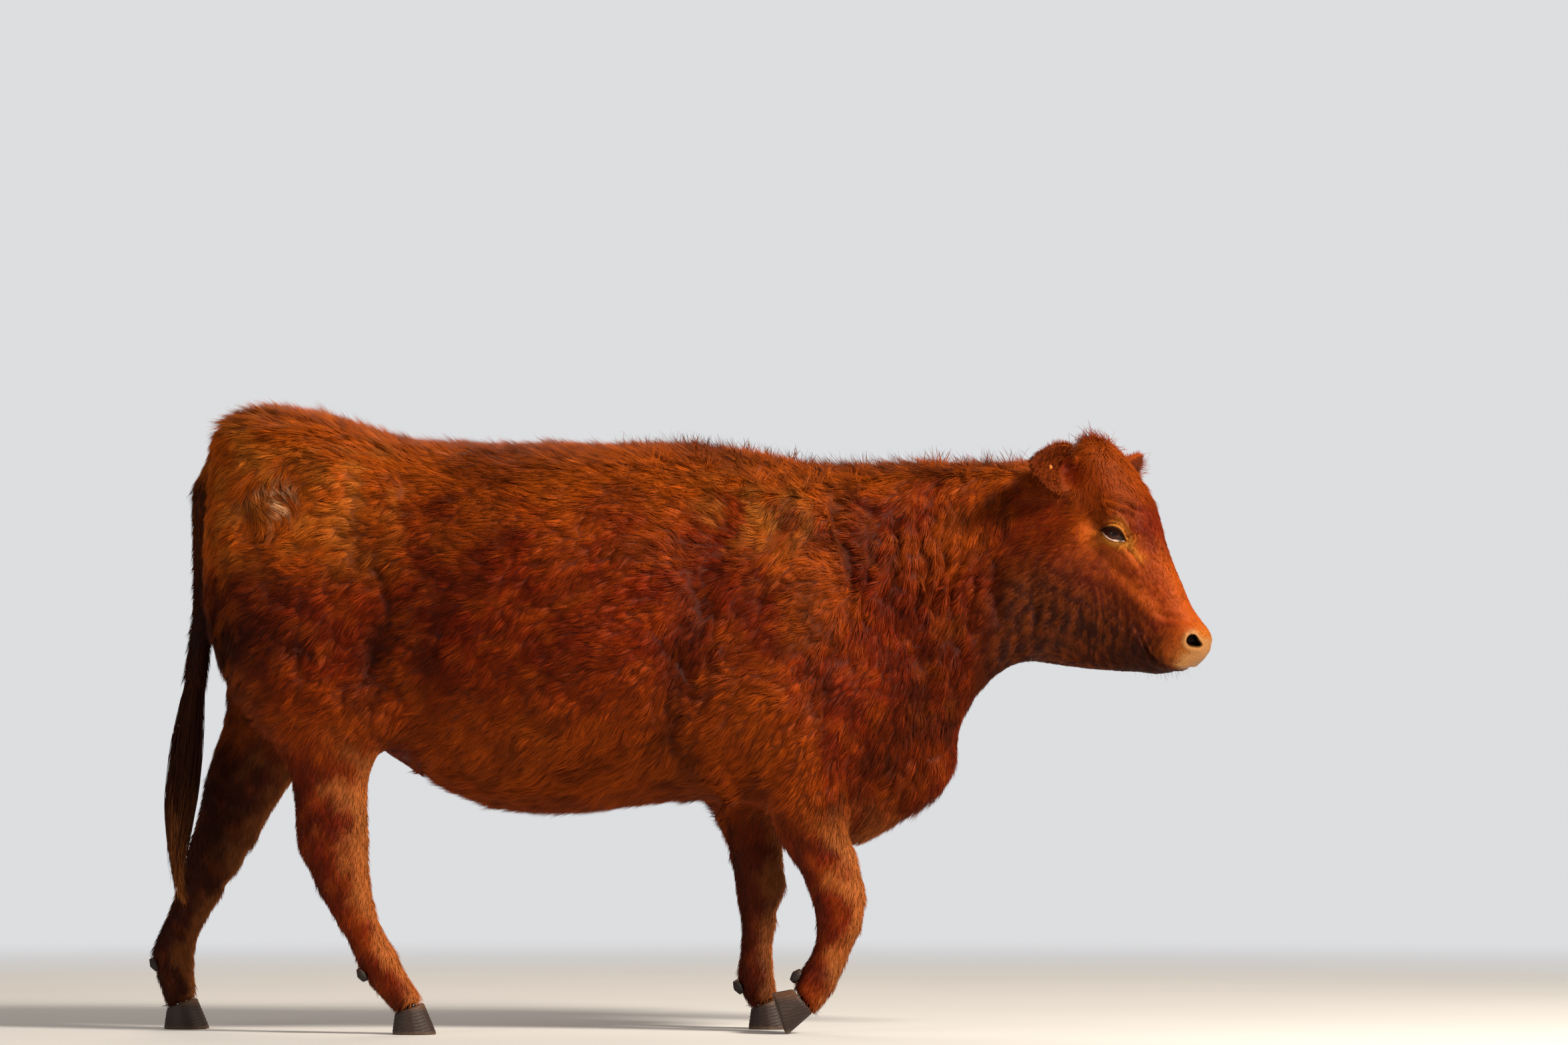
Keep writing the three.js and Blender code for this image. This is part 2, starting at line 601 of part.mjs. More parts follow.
// An ear along +x from its root at the origin: leaf-shaped, and curled like a gutter open towards +z.
function earGeometry() {
  const { length, width, thick, curl } = EAR;
  const ear = new THREE.SphereGeometry(1, 12, 9);
  ear.rotateZ(-Math.PI / 2);
  const p = ear.attributes.position;
  for (let i = 0; i < p.count; i++) {
    const t = (p.getX(i) + 1) / 2;
    const leaf = 0.42 * (1 - t) + 0.82 * Math.pow(Math.sin(Math.PI * Math.pow(t, 0.95)), 0.7);
    const round = Math.sqrt(Math.max(1 - p.getX(i) ** 2, 1e-9));
    const closed = Math.min(1, round * 1.6);
    const halfCurl = curl.root + (curl.tip - curl.root) * t;
    const radius = (leaf * (width / 2) * closed) / halfCurl;
    const angle = (p.getY(i) / round) * halfCurl;
    const offset = (p.getZ(i) / round) * (thick / 2) * closed * (1.5 - 0.7 * t);
    const y = (radius - offset) * Math.sin(angle);
    p.setXYZ(i, t * length, y, radius - (radius - offset) * Math.cos(angle) - 10 * t * t);
  }
  return ear;
}

// The stud, with its pointed head towards +z, or the room it needs when grown by a clearance.
function studGeometry(grown) {
  const { head, shank, back, reach } = STUD;
  const profile = [
    [0, -reach - 3 - grown],
    [back + grown, -reach - 3 - grown],
    [back + grown, -reach + grown],
    [shank + grown, -reach + grown],
    [shank + grown, reach - grown],
    [head + grown, reach - grown],
    [head * 0.9 + grown, reach + 2.5 + grown],
    [2.4 + grown, reach + 4 + grown],
    [0, reach + 7 + grown],
  ];
  const stud = new THREE.LatheGeometry(profile.map(([r, z]) => new THREE.Vector2(r, z)), 10);
  stud.rotateX(Math.PI / 2 + STUD.lean);
  return stud.translate(STUD.along, STUD.across, STUD.level);
}

// Turns a lathe profile, whose axis is +y, into a tapering tube along a curve.
function bentLathe(profile, curve, sides) {
  const lathe = new THREE.LatheGeometry(profile.map(([r, t]) => new THREE.Vector2(r, t)), sides);
  const p = lathe.attributes.position;
  const across = new THREE.Vector3(0, 1, 0);
  const out = new THREE.Vector3();
  for (let i = 0; i < p.count; i++) {
    const t = p.getY(i);
    const middle = curve.getPoint(t);
    const along = curve.getTangent(t);
    out.crossVectors(along, across).normalize();
    middle.addScaledVector(out, p.getX(i)).addScaledVector(across, p.getZ(i));
    p.setXYZ(i, middle.x, middle.y, middle.z);
  }
  return lathe;
}

const TAIL_LINE = new THREE.CatmullRomCurve3(
  [
    [-812, 0, 1204],
    [-862, 0, 1160],
    [-874, 0, 1060],
    [-872, 2, 930],
    [-872, 4, 800],
    [-890, 4, 690],
    [-903, 3, 590],
    [-914, 2, 480],
    [-924, 0, 380],
    [-916, 0, 262],
  ].map((p) => new THREE.Vector3(...p)),
);
const TAIL_DOCK = [[0, 0], [24, 0.004], [30, 0.06], [26, 0.2], [25, 0.4], [27, 0.55], [0, 0.555]];
const TAIL_SWITCH = [[0, 0.557], [28, 0.562], [31, 0.68], [33, 0.78], [29, 0.86], [19, 0.93], [9, 0.98], [0, 1]];

// ---------------------------------------------------------------- building the nodes

const model = new THREE.Group();

function addNode(name, geometry, color, roughness = 0.85) {
  const material = new THREE.MeshStandardMaterial({ color, roughness, metalness: 0 });
  const mesh = new THREE.Mesh(geometry, material);
  mesh.name = name;
  model.add(mesh);
  return mesh;
}

// A piece less its neighbour, and less the neighbour moved a little along `way`, which leaves a gap.
function fitAgainst(piece, neighbour, way) {
  const out = new THREE.Vector3(...way).normalize().multiplyScalar(FIT);
  return withoutShortEdges(mainBody(piece.subtract(neighbour.add(neighbour.translate(out.toArray())))), 0.6);
}

function placed(geometry, matrix) {
  return solidOf(geometry.clone().applyMatrix4(matrix));
}

const flesh = {};

function addTrunk() {
  const whole = solidOf(surfaceOf(bodyField, [-960, -380, 320], [760, 380, 1320], [80, 64, 66]));
  let trunk = whole.subtract(beyondPlane(NECK_CUT.point, NECK_CUT.normal, -CUT / 2));
  const room = Object.keys(LIMB_BOXES).map((name) => limbRegion(name, CUT));
  for (const limb of room) trunk = trunk.subtract(limb);
  trunk = withoutShortEdges(mainBody(trunk), 16);
  for (const limb of room) trunk = trunk.subtract(limb);
  flesh.trunk = withoutShortEdges(mainBody(trunk), 0.6);
}

function addNeck() {
  const whole = solidOf(surfaceOf(bodyField, [240, -300, 360], [1010, 300, 1260], [64, 50, 60]));
  const neck = whole
    .subtract(beyondPlane(NECK_CUT.point, opposite(NECK_CUT.normal), -CUT / 2))
    .subtract(beyondPlane(HEAD_CUT.point, HEAD_CUT.normal, -CUT / 2));
  flesh.neck = withoutShortEdges(mainBody(neck), 12);
}

// The head is meshed in its own frame, so that both its sides are alike.
function addHead() {
  const inHead = (a, b, c) => {
    const e = headFrame.elements;
    return bodyField(
      e[0] * a + e[4] * b + e[8] * c + e[12],
      e[1] * a + e[5] * b + e[9] * c + e[13],
      e[2] * a + e[6] * b + e[10] * c + e[14],
    );
  };
  const geometry = surfaceOf(inHead, [-260, -170, -290], [400, 170, 290], [23, 19, 22]);
  let whole = placed(geometry, headFrame);
  whole = whole.subtract(beyondPlane(HEAD_CUT.point, opposite(HEAD_CUT.normal), -CUT / 2));
  const muzzleSide = beyondPlane(MUZZLE_CUT.point, MUZZLE_CUT.normal, 0);
  const jawSide = beyondPlane(MOUTH_CUT.point, MOUTH_CUT.normal, 0).intersect(
    beyondPlane(JAW_CUT.point, JAW_CUT.normal, 0),
  );
  const jawRoom = beyondPlane(MOUTH_CUT.point, MOUTH_CUT.normal, -CUT).intersect(
    beyondPlane(JAW_CUT.point, JAW_CUT.normal, -CUT),
  );
  const upper = whole.subtract(jawRoom);
  const skullSide = upper.subtract(beyondPlane(MUZZLE_CUT.point, MUZZLE_CUT.normal, -CUT));
  flesh.lower_jaw = withoutShortEdges(mainBody(whole.intersect(jawSide)), 5);
  flesh.muzzle = withoutShortEdges(mainBody(upper.intersect(muzzleSide)), 5);
  let head = withoutShortEdges(mainBody(skullSide), 7);
  for (const side of [1, -1]) {
    const socket = new THREE.SphereGeometry(EYE_RADIUS + FIT, 11, 7).translate(...eyeMiddle(side));
    head = head.subtract(solidOf(socket));
  }
  flesh.head = withoutShortEdges(mainBody(head), 0.6);
}

function eyeMiddle(side) {
  return headToBody(79, side * 90, 113);
}

function addLimb(name) {
  const [end, side] = name.split("_");
  const { size, middle, turn, top } = LIMB_BOXES[name];
  const knee = LIMB_JOINTS[name];
  const halfX = size[0] / 2 + (size[2] / 2) * Math.abs(Math.sin(turn)) + 40;
  const sides = [middle[1] - size[1] / 2 - 40, middle[1] + size[1] / 2 + 40];
  const [back, front] = [middle[0] - halfX, middle[0] + halfX];
  const kneeLevel = knee.point[2];
  const upper = surfaceOf(bodyField, [back, sides[0], kneeLevel - 130], [front, sides[1], top], [46, 36, 56]);
  const lower = surfaceOf(bodyField, [back, sides[0], FLOOR - 20], [front, sides[1], kneeLevel + 110], [22, 20, 40]);
  const region = limbRegion(name);
  const above = beyondPlane(knee.point, opposite(knee.normal), CUT / 2);
  const below = beyondPlane(knee.point, knee.normal, CUT / 2);
  const shank = mainBody(solidOf(lower).intersect(region).intersect(below));
  flesh[`${UPPER_LIMB[end]}_${side}`] = withoutShortEdges(
    mainBody(solidOf(upper).intersect(region).intersect(above)),
    9,
  );
  flesh[`${end}_shank_${side}`] = withoutShortEdges(trimmedToFoot(shank, name), 7);
}

const UPPER_LIMB = { fore: "forearm", hind: "gaskin" };

// Where the toe of each foot stands, how far the foot is tipped onto its toe, and its dewclaws' middle.
const FEET = {
  fore_right: { toe: [310, -125, FLOOR - 5], pitch: 1.25, turn: 0.03, dewclaw: [331, 106] },
  fore_left: { toe: [324, 118, FLOOR], pitch: 0, turn: -0.03, dewclaw: [213, 76] },
  hind_right: { toe: [-390, -140, FLOOR], pitch: 0, turn: 0.06, dewclaw: [-540, 110] },
  hind_left: { toe: [-868, 130, FLOOR], pitch: 0, turn: -0.06, dewclaw: [-978, 122] },
};

function footFrame({ toe, pitch, turn }) {
  return new THREE.Matrix4()
    .makeTranslation(...toe)
    .multiply(new THREE.Matrix4().makeRotationZ(turn))
    .multiply(new THREE.Matrix4().makeRotationY(pitch))
    .multiply(new THREE.Matrix4().makeTranslation(-HOOF.length, 0, 0));
}

// The shank ends at its foot's coronet.
function trimmedToFoot(shank, name) {
  const frame = footFrame(FEET[name]);
  const point = new THREE.Vector3(...CORONET.point).applyMatrix4(frame).toArray();
  const down = new THREE.Vector3(...opposite(CORONET.normal)).transformDirection(frame).toArray();
  return mainBody(shank.subtract(beyondPlane(point, down, -FIT)));
}

// The two claws of a foot, cut level where they stand, and its two dewclaws.
function addFoot(name) {
  const [end, side] = name.split("_");
  const foot = FEET[name];
  const frame = footFrame(foot);
  const floor = beyondPlane([0, 0, FLOOR], [0, 0, -1], 0);
  const shank = flesh[`${end}_shank_${side}`];
  for (const [inner, mirror] of [["left", 1], ["right", -1]]) {
    const claw = clawGeometry();
    claw.scale(1, mirror, 1).translate(0, (HOOF.gap / 2) * mirror, 0);
    if (mirror < 0) claw.setIndex(Array.from(claw.index.array).reverse());
    const solid = placed(claw, frame).subtract(floor);
    addNode(`hoof_${end}_${side}_${inner}`, geometryOf(mainBody(solid)), COAT.horn, 0.5);

    const spur = dewclawGeometry();
    spur.rotateY(-0.5 + foot.pitch);
    spur.translate(foot.dewclaw[0], foot.toe[1] + 19 * mirror, foot.dewclaw[1]);
    const away = new THREE.Vector3(-1, 0, -0.3).applyAxisAngle(new THREE.Vector3(0, 1, 0), foot.pitch);
    const fitted = fitAgainst(solidOf(spur), shank, away.toArray());
    addNode(`dewclaw_${end}_${side}_${inner}`, geometryOf(fitted), COAT.horn, 0.6);
  }
}

// Each ear's root and the ways that it points and opens, in the head's frame.
const EARS = {
  left: { root: [-56, 70, 160], out: [0.04, 1, 0.1], open: [0.85, 0.25, 0.35] },
  right: { root: [-98, -68, 146], out: [0.02, -1, 0.08], open: [0.88, -0.05, 0.42] },
};

function earMatrix({ root, out: way, open: face }) {
  const out = new THREE.Vector3(...headWay(...way));
  const across = new THREE.Vector3().crossVectors(new THREE.Vector3(...headWay(...face)), out).normalize();
  const open = new THREE.Vector3().crossVectors(out, across).normalize();
  return new THREE.Matrix4().makeBasis(out, across, open).setPosition(...headToBody(...root));
}

function addEars() {
  const seat = flesh.head.add(flesh.neck);
  for (const name in EARS) {
    const matrix = earMatrix(EARS[name]);
    let ear = placed(earGeometry(), matrix);
    if (name === "right") {
      ear = ear.subtract(placed(studGeometry(FIT), matrix));
      addNode("ear_stud", geometryOf(placed(studGeometry(0), matrix)), STUD_ORANGE, 0.4);
    }
    addNode(`ear_${name}`, geometryOf(fitAgainst(ear, seat, headWay(...EARS[name].out))), COAT.red);
  }
}

function addEyes() {
  for (const [name, side] of [["left", 1], ["right", -1]]) {
    const eye = new THREE.SphereGeometry(EYE_RADIUS, 11, 7).translate(...eyeMiddle(side));
    addNode(`eye_${name}`, eye, COAT.eye, 0.15);
  }
}

function addTail() {
  const dock = solidOf(bentLathe(TAIL_DOCK, TAIL_LINE, 10));
  addNode("tail", geometryOf(fitAgainst(dock, flesh.trunk, [-1, 0, 0])), COAT.deep);
  const tuft = solidOf(bentLathe(TAIL_SWITCH, TAIL_LINE, 10));
  addNode("tail_switch", geometryOf(tuft), COAT.deep);
}

addTrunk();
addNeck();
addHead();
for (const name in LIMBS) addLimb(name);
for (const name in LIMBS) addFoot(name);
for (const name in flesh) {
  const color = name === "muzzle" ? COAT.muzzle : name === "head" ? COAT.face : COAT.red;
  addNode(name, geometryOf(flesh[name]), color);
}
addEars();
addEyes();
addTail();

// The origin is the middle of the model's footprint on the floor.
const bounds = new THREE.Box3().setFromObject(model);
const footprint = bounds.getCenter(new THREE.Vector3());
model.position.set(-footprint.x, -footprint.y, -bounds.min.z);

export default model;
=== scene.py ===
# %% [markdown]
# # A red heifer in mid-stride
# A life-size museum model of a polled red beef heifer. The real animal is hide over muscle and bone,
# covered by a thick autumn coat. The carved solids of the body arrive as a fixed frame, and this lesson
# gives them one hide, a coat of hair locks, wet eyes, horn claws and a plain studio.

# %% Load the frame
import math
import bpy
import bmesh
import numpy as np
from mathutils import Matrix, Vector
from mathutils.bvhtree import BVHTree
from mathutils.kdtree import KDTree


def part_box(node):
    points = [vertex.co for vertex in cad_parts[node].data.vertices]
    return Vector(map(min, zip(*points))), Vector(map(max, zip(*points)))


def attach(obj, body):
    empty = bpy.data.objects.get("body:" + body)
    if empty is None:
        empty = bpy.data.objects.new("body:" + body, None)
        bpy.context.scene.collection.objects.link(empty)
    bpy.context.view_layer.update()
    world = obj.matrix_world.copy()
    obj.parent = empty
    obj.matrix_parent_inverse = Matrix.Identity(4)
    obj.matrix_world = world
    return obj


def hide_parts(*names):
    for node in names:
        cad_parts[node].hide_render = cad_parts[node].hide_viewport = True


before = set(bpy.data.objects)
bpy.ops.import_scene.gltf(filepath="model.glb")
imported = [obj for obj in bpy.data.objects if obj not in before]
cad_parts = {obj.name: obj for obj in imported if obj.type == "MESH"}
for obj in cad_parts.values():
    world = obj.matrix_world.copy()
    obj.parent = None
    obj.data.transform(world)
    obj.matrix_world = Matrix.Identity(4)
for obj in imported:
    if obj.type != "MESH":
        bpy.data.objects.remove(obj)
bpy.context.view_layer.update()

# %% [markdown]
# ## Small tools
# Everything is measured in metres, but the animal is easier to think of in millimetres, so `mm` turns
# one into the other. Meshes are kept as plain arrays of points and faces, because a whole coat is quick
# to compute that way and slow to build one face at a time.

# %% Tools for meshes
mm = 0.001


def unit(v):
    return v / np.maximum(np.linalg.norm(v, axis=-1, keepdims=True), 1e-12)


def make_mesh(name, points, faces):
    """A smooth-shaded object from arrays: points (n, 3) and faces (m, corners)."""
    faces = np.asarray(faces)
    mesh = bpy.data.meshes.new(name)
    mesh.vertices.add(len(points))
    mesh.vertices.foreach_set("co", np.asarray(points, np.float32).ravel())
    mesh.loops.add(faces.size)
    mesh.loops.foreach_set("vertex_index", faces.astype(np.int32).ravel())
    mesh.polygons.add(len(faces))
    mesh.polygons.foreach_set("loop_start", np.arange(0, faces.size, faces.shape[1], dtype=np.int32))
    mesh.update(calc_edges=True)
    mesh.polygons.foreach_set("use_smooth", np.full(len(faces), True))
    piece = bpy.data.objects.new(name, mesh)
    bpy.context.scene.collection.objects.link(piece)
    return piece


def read_vectors(items, what):
    flat = np.empty(len(items) * 3, np.float32)
    items.foreach_get(what, flat)
    return flat.reshape(-1, 3).astype(np.float64)


def points_of(mesh):
    return read_vectors(mesh.vertices, "co")


def normals_of(mesh):
    return read_vectors(mesh.vertices, "normal")


def set_points(mesh, points):
    mesh.vertices.foreach_set("co", points.astype(np.float32).ravel())
    mesh.update()


def triangles_of(mesh):
    mesh.calc_loop_triangles()
    flat = np.empty(len(mesh.loop_triangles) * 3, np.int32)
    mesh.loop_triangles.foreach_get("vertices", flat)
    return flat.reshape(-1, 3)


def applied(piece, kind, **settings):
    """Gives a piece the mesh that one modifier makes of it, and returns that mesh."""
    modifier = piece.modifiers.new(kind.lower(), kind)
    for name, value in settings.items():
        setattr(modifier, name, value)
    mesh = bpy.data.meshes.new_from_object(piece.evaluated_get(bpy.context.evaluated_depsgraph_get()))
    piece.modifiers.clear()
    piece.data = mesh
    return mesh


# %% [markdown]
# More tools shape numbers rather than meshes. `smoothstep` is a soft switch, `blend` mixes two values by a
# share, `layered` does so many times over, and `waves` is a smooth noise made of slanted sine waves, for
# everything that a living body does unevenly. A sum of sines gives the same result on every run.

# %% Tools for numbers
def smoothstep(low, high, value):
    t = np.clip((value - low) / (high - low), 0, 1)
    return t * t * (3 - 2 * t)


def blend(first, second, share):
    share = np.asarray(share, float)
    if np.ndim(first) > 1 or np.ndim(second) > 1 or (np.ndim(share) == 1 and np.shape(second) == (3,)):
        share = share[..., None]
    return first + (second - first) * share


def layered(value, layers):
    """A value, or one for each point, with others laid over it in turn, each by its share."""
    for over, share in layers:
        value = blend(value, over, share)
    return value


def waves(points, size, seed):
    """Smooth noise, mostly between -1 and 1, whose largest waves are `size` metres long."""
    turn = np.random.default_rng(seed)
    total = np.zeros(len(points))
    for octave in range(3):
        for _ in range(4):
            bend = points @ unit(turn.normal(size=3)) * (2.4 / size) + turn.uniform(0, 6.28)
            phase = points @ unit(turn.normal(size=3)) * (2 * math.pi / size) + turn.uniform(0, 6.28)
            total += np.sin(phase + 1.2 * np.sin(bend)) * 0.55**octave
        size /= 2.1
    return total / 2.6


def distance_to_path(flat, path):
    """How far 2-D points are from a bent line, and how far along it, from 0 to 1, the nearest place is."""
    path = np.asarray(path, float)
    steps = np.linalg.norm(np.diff(path, axis=0), axis=1)
    gap, along = np.full(len(flat), 1e9), np.zeros(len(flat))
    done = 0.0
    for start, end, step in zip(path[:-1], path[1:], steps):
        way = (end - start) / step
        t = np.clip((flat - start) @ way, 0, step)
        here = np.linalg.norm(flat - start - t[:, None] * way, axis=1)
        nearer = here < gap
        gap[nearer] = here[nearer]
        along[nearer] = (done + t[nearer]) / steps.sum()
        done += step
    return gap, along


LIP = 0.35


def crease(flat, path, width, depth):
    """Height of a crease along a bent line: a groove `depth` deep with a soft swelling on each side."""
    gap, along = distance_to_path(flat, path)
    fade = np.sin(math.pi * np.clip(0.06 + 0.88 * along, 0, 1)) ** 0.6
    groove = np.exp(-((gap / width) ** 2))
    swelling = np.exp(-(((gap - 2 * width) / width) ** 2))
    return depth * fade * (LIP * swelling - groove)


# %% [markdown]
# ## Landmarks
# A sculptor finds everything on a head from the eyes. The two eyeballs of the frame give the head's own
# axes: `ahead` runs down the skull to the nose, `left` across it, and `brow` from the jaw to the brow.
# Distances on the head are then given in millimetres along those three.

# %% The head's own axes
def middle_of(node):
    low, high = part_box(node)
    return (np.array(low) + np.array(high)) / 2


EYE_AHEAD, EYE_SIDE, EYE_BROW = 79, 80, 113
NOSE_DROP = math.radians(36)
HEAD_FROM = 0.6  # metres along X: nothing behind this place is head
eye_left, eye_right = middle_of("eye_left"), middle_of("eye_right")
head_left = unit(eye_left - eye_right)
yaw = math.atan2(head_left[0], head_left[1])
head_ahead = np.array(
    [math.cos(NOSE_DROP) * math.cos(yaw), -math.cos(NOSE_DROP) * math.sin(yaw), -math.sin(NOSE_DROP)]
)
head_brow = np.cross(head_ahead, head_left)
head_axes = np.stack([head_ahead, head_left, head_brow])
head_origin = (eye_left + eye_right) / 2 - (EYE_AHEAD * head_ahead + EYE_BROW * head_brow) * mm


def to_head(points):
    """Points as millimetres ahead, left and towards the brow, from the middle of the back of the skull."""
    return (np.asarray(points) - head_origin) @ head_axes.T / mm


def from_head(h):
    """The way back: a place, or many, from millimetres ahead, left and towards the brow."""
    return head_origin + np.asarray(h) * mm @ head_axes


print("head turned", round(math.degrees(yaw), 1), "degrees, nose at", from_head([350, 0, 10]).round(3))

# %% [markdown]
# ## One hide
# The real hide has no seams, so the nodes of flesh have to become one surface. Retopology by hand would
# do it, and so would a boolean union, but a voxel remesh is quickest: every node is swollen by a
# millimetre to close the thin cuts, and all of them are wrapped in one even grid of quads. The ears are
# so thin that they are swollen more. A ball a little larger than each eye goes in too, with a pad of
# flesh round it, so that the eye starts as a closed, bulging lid.

# %% Wrap the flesh in one surface
NOT_FLESH = ("hoof", "dewclaw", "eye", "ear_stud", "tail_switch")
flesh_names = [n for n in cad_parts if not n.startswith(NOT_FLESH)]
GRID = 6 * mm
SWELL, EAR_SWELL = 1.2 * mm, 2.6 * mm
EYEBALL = 26.0
LID = 2.8
PAD_SIDE, PAD_HALF = 71, np.array([46, 25, 40])
eye_centres = {side: from_head([EYE_AHEAD + 2, side * EYE_SIDE, EYE_BROW]) for side in (-1, 1)}


def ball(middle, radius, fineness=4):
    """Points and triangles of a ball, or of an egg when `radius` holds one value for each head axis."""
    bm = bmesh.new()
    bmesh.ops.create_icosphere(bm, subdivisions=fineness, radius=1)
    points = np.array([v.co[:] for v in bm.verts]) * radius @ head_axes + middle
    faces = np.array([[v.index for v in f.verts] for f in bm.faces])
    bm.free()
    return points, faces


shells = []
for name in flesh_names:
    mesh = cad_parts[name].data
    swell = EAR_SWELL if name.startswith("ear") else SWELL
    shells.append((points_of(mesh) + normals_of(mesh) * swell, triangles_of(mesh)))
for side in (-1, 1):
    shells.append(ball(eye_centres[side], (EYEBALL + LID) * mm))
    shells.append(ball(from_head([EYE_AHEAD, side * PAD_SIDE, EYE_BROW + 1]), PAD_HALF * mm))
starts = np.cumsum([0] + [len(points) for points, _ in shells[:-1]])
hide = make_mesh(
    "hide",
    np.concatenate([points for points, _ in shells]),
    np.concatenate([faces + start for (_, faces), start in zip(shells, starts)]),
)
hide_mesh = applied(hide, "REMESH", mode="VOXEL", voxel_size=GRID, adaptivity=0)
print("hide:", len(hide_mesh.vertices), "points,", len(hide_mesh.polygons), "faces")

# %% [markdown]
# ## Regions
# Almost every later step asks where a point is: on the head, an ear, a leg, the tail. One function
# answers with a share from 0 to 1 for each, from the nodes' own boxes and the head's axes.

# %% Where a point is
def near_box(points, name, margin):
    low, high = (np.array(v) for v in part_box(name))
    gap = np.maximum(np.maximum(low - points, points - high), 0)
    return 1 - smoothstep(0, margin, np.linalg.norm(gap, axis=1))


def regions(points):
    """Shares from 0 to 1 for the head, the ears, the legs and the tail."""
    x, z = points[:, 0], points[:, 2]
    h = to_head(points)
    head = smoothstep(-120, -30, h[:, 0] + 0.35 * h[:, 2]) * (x > 0.5)
    ear = np.zeros(len(points))
    for name, side in (("ear_left", 1), ("ear_right", -1)):
        out = smoothstep(88, 108, h[:, 1] * side) * smoothstep(58, 80, h[:, 2]) * (h[:, 0] < 25)
        ear = np.maximum(ear, out * near_box(points, name, 0.015))
    knee_line = np.where(x < -0.3, 0.60, 0.45)
    leg = 1 - smoothstep(knee_line - 0.10, knee_line + 0.06, z)
    leg *= (x < 0.5) & ((x < -0.52) | (x > 0.10) | (z < 0.3))
    tail = near_box(points, "tail", 0.004) * (x < -0.86) * (1 - smoothstep(1.10, 1.17, z))
    return {"head": head, "ear": ear, "leg": leg, "tail": tail}


# %% [markdown]
# ## Smoothing by region
# The solids are faceted, coarsely on the barrel and finely on the head. Each point is drawn towards the
# middle of its neighbours, many times, by a share that is large on the barrel, small on the legs and
# smallest on the face and ears, so that facets go and forms stay.

# %% Relax the hide
def edges_of(mesh):
    flat = np.empty(len(mesh.edges) * 2, np.int32)
    mesh.edges.foreach_get("vertices", flat)
    return flat.reshape(-1, 2)


def relax(points, edges, share, times):
    """Draws points towards the middle of their neighbours by `share` of the way, `times` times."""
    a, b = edges.T
    count = len(points)
    degree = np.bincount(a, minlength=count) + np.bincount(b, minlength=count)
    share = np.broadcast_to(share, count)[:, None]
    for _ in range(times):
        sums = [np.bincount(a, points[b, k], count) + np.bincount(b, points[a, k], count) for k in range(3)]
        points = points + share * (np.stack(sums, 1) / degree[:, None] - points)
    return points


ROUNDS = 110
hide_points = points_of(hide_mesh)
part = regions(hide_points)
share = 0.45
for region, least in (("leg", 0.05), ("head", 0.04), ("ear", 0.025), ("tail", 0.04)):
    share = blend(share, least, part[region])
hide_points = relax(hide_points, edges_of(hide_mesh), share, ROUNDS)
set_points(hide_mesh, hide_points)
print("leg points:", int((part["leg"] > 0.5).sum()), "head points:", int((part["head"] > 0.5).sum()))

# %% [markdown]
# ## Room for the coat
# The carved outline goes out to the tips of the hair, so the hide lies inside it by the depth of the
# coat: deep on the back and brisket, thin on the legs and cheeks, and almost nothing on the muzzle.

# %% Draw the hide in by the depth of the coat
def coat_depth(points, normals):
    """How far the tips of the coat stand off the hide, in millimetres."""
    h = to_head(points)
    part = regions(points)
    depth = np.full(len(points), 9.0)
    depth += 9 * smoothstep(0.5, 0.9, normals[:, 2]) * smoothstep(-0.8, -0.3, points[:, 0])
    depth += 3 * smoothstep(0.3, 0.8, -normals[:, 2])
    face = part["head"] * smoothstep(-60, 30, h[:, 0] - 0.4 * h[:, 2])
    muzzle = smoothstep(255, 300, h[:, 0]) * part["head"]
    return layered(depth, [
        (4.5, part["leg"]), (7.0, part["head"]), (3.5, face), (0.6, muzzle),
        (1.6, part["ear"]), (4.0, part["tail"]),
    ])


inset = coat_depth(hide_points, normals_of(hide_mesh))
hide_points = hide_points - normals_of(hide_mesh) * inset[:, None] * mm
set_points(hide_mesh, hide_points)
print("coat depth from", round(inset.min(), 1), "to", round(inset.max(), 1), "mm")

# %% [markdown]
# ## More points where the face needs them
# Six millimetres between points is plenty for a barrel and far too coarse for an eyelid. The face is
# divided once, the mouth once more, and the eyes and nostrils twice more. Dividing only chosen faces
# keeps the hide light.

# %% Divide the face, the eyes and the nostrils
NOSTRIL = np.array([337, 45, 28])


def mirrored(h):
    """Points of the head, with its right side laid on its left."""
    return h * [1, 0, 1] + np.abs(h) * [0, 1, 0]


def from_nostril(h):
    """Millimetres from the middle of the nearer nostril."""
    return np.linalg.norm(mirrored(h) - NOSTRIL, axis=1)


def near_holes(points, reach):
    """True within `reach` millimetres of the middle of an eye, and within 10 less of a nostril's."""
    h = to_head(points)
    from_eyes = [np.linalg.norm(h - to_head(middle), axis=1) for middle in eye_centres.values()]
    return (np.minimum(*from_eyes) < reach) | (from_nostril(h) < reach - 10)


def refine(mesh, chosen):
    """Divides every edge whose two ends `chosen` picks, and lets the faces follow."""
    picked = chosen(points_of(mesh))
    bm = bmesh.new()
    bm.from_mesh(mesh)
    edges = [e for e in bm.edges if picked[e.verts[0].index] and picked[e.verts[1].index]]
    bmesh.ops.subdivide_edges(bm, edges=edges, cuts=1, use_grid_fill=True)
    bm.to_mesh(mesh)
    bm.free()


def on_face(points):
    h = to_head(points)
    skull = (h[:, 0] > -100) & (points[:, 0] > HEAD_FROM) & (h[:, 2] > -190)
    return skull | (regions(points)["ear"] > 0.3)


def within(value, low, high):
    return (value > low) & (value < high)


def near_mouth(points):
    """True at the mouth and the tear grooves, where folds are only millimetres wide."""
    ahead, left, brow = to_head(points).T
    mouth = (ahead > 210) & within(brow, -64, -8)
    return mouth | (within(ahead, 95, 175) & within(brow, 72, 122) & (np.abs(left) > 45))


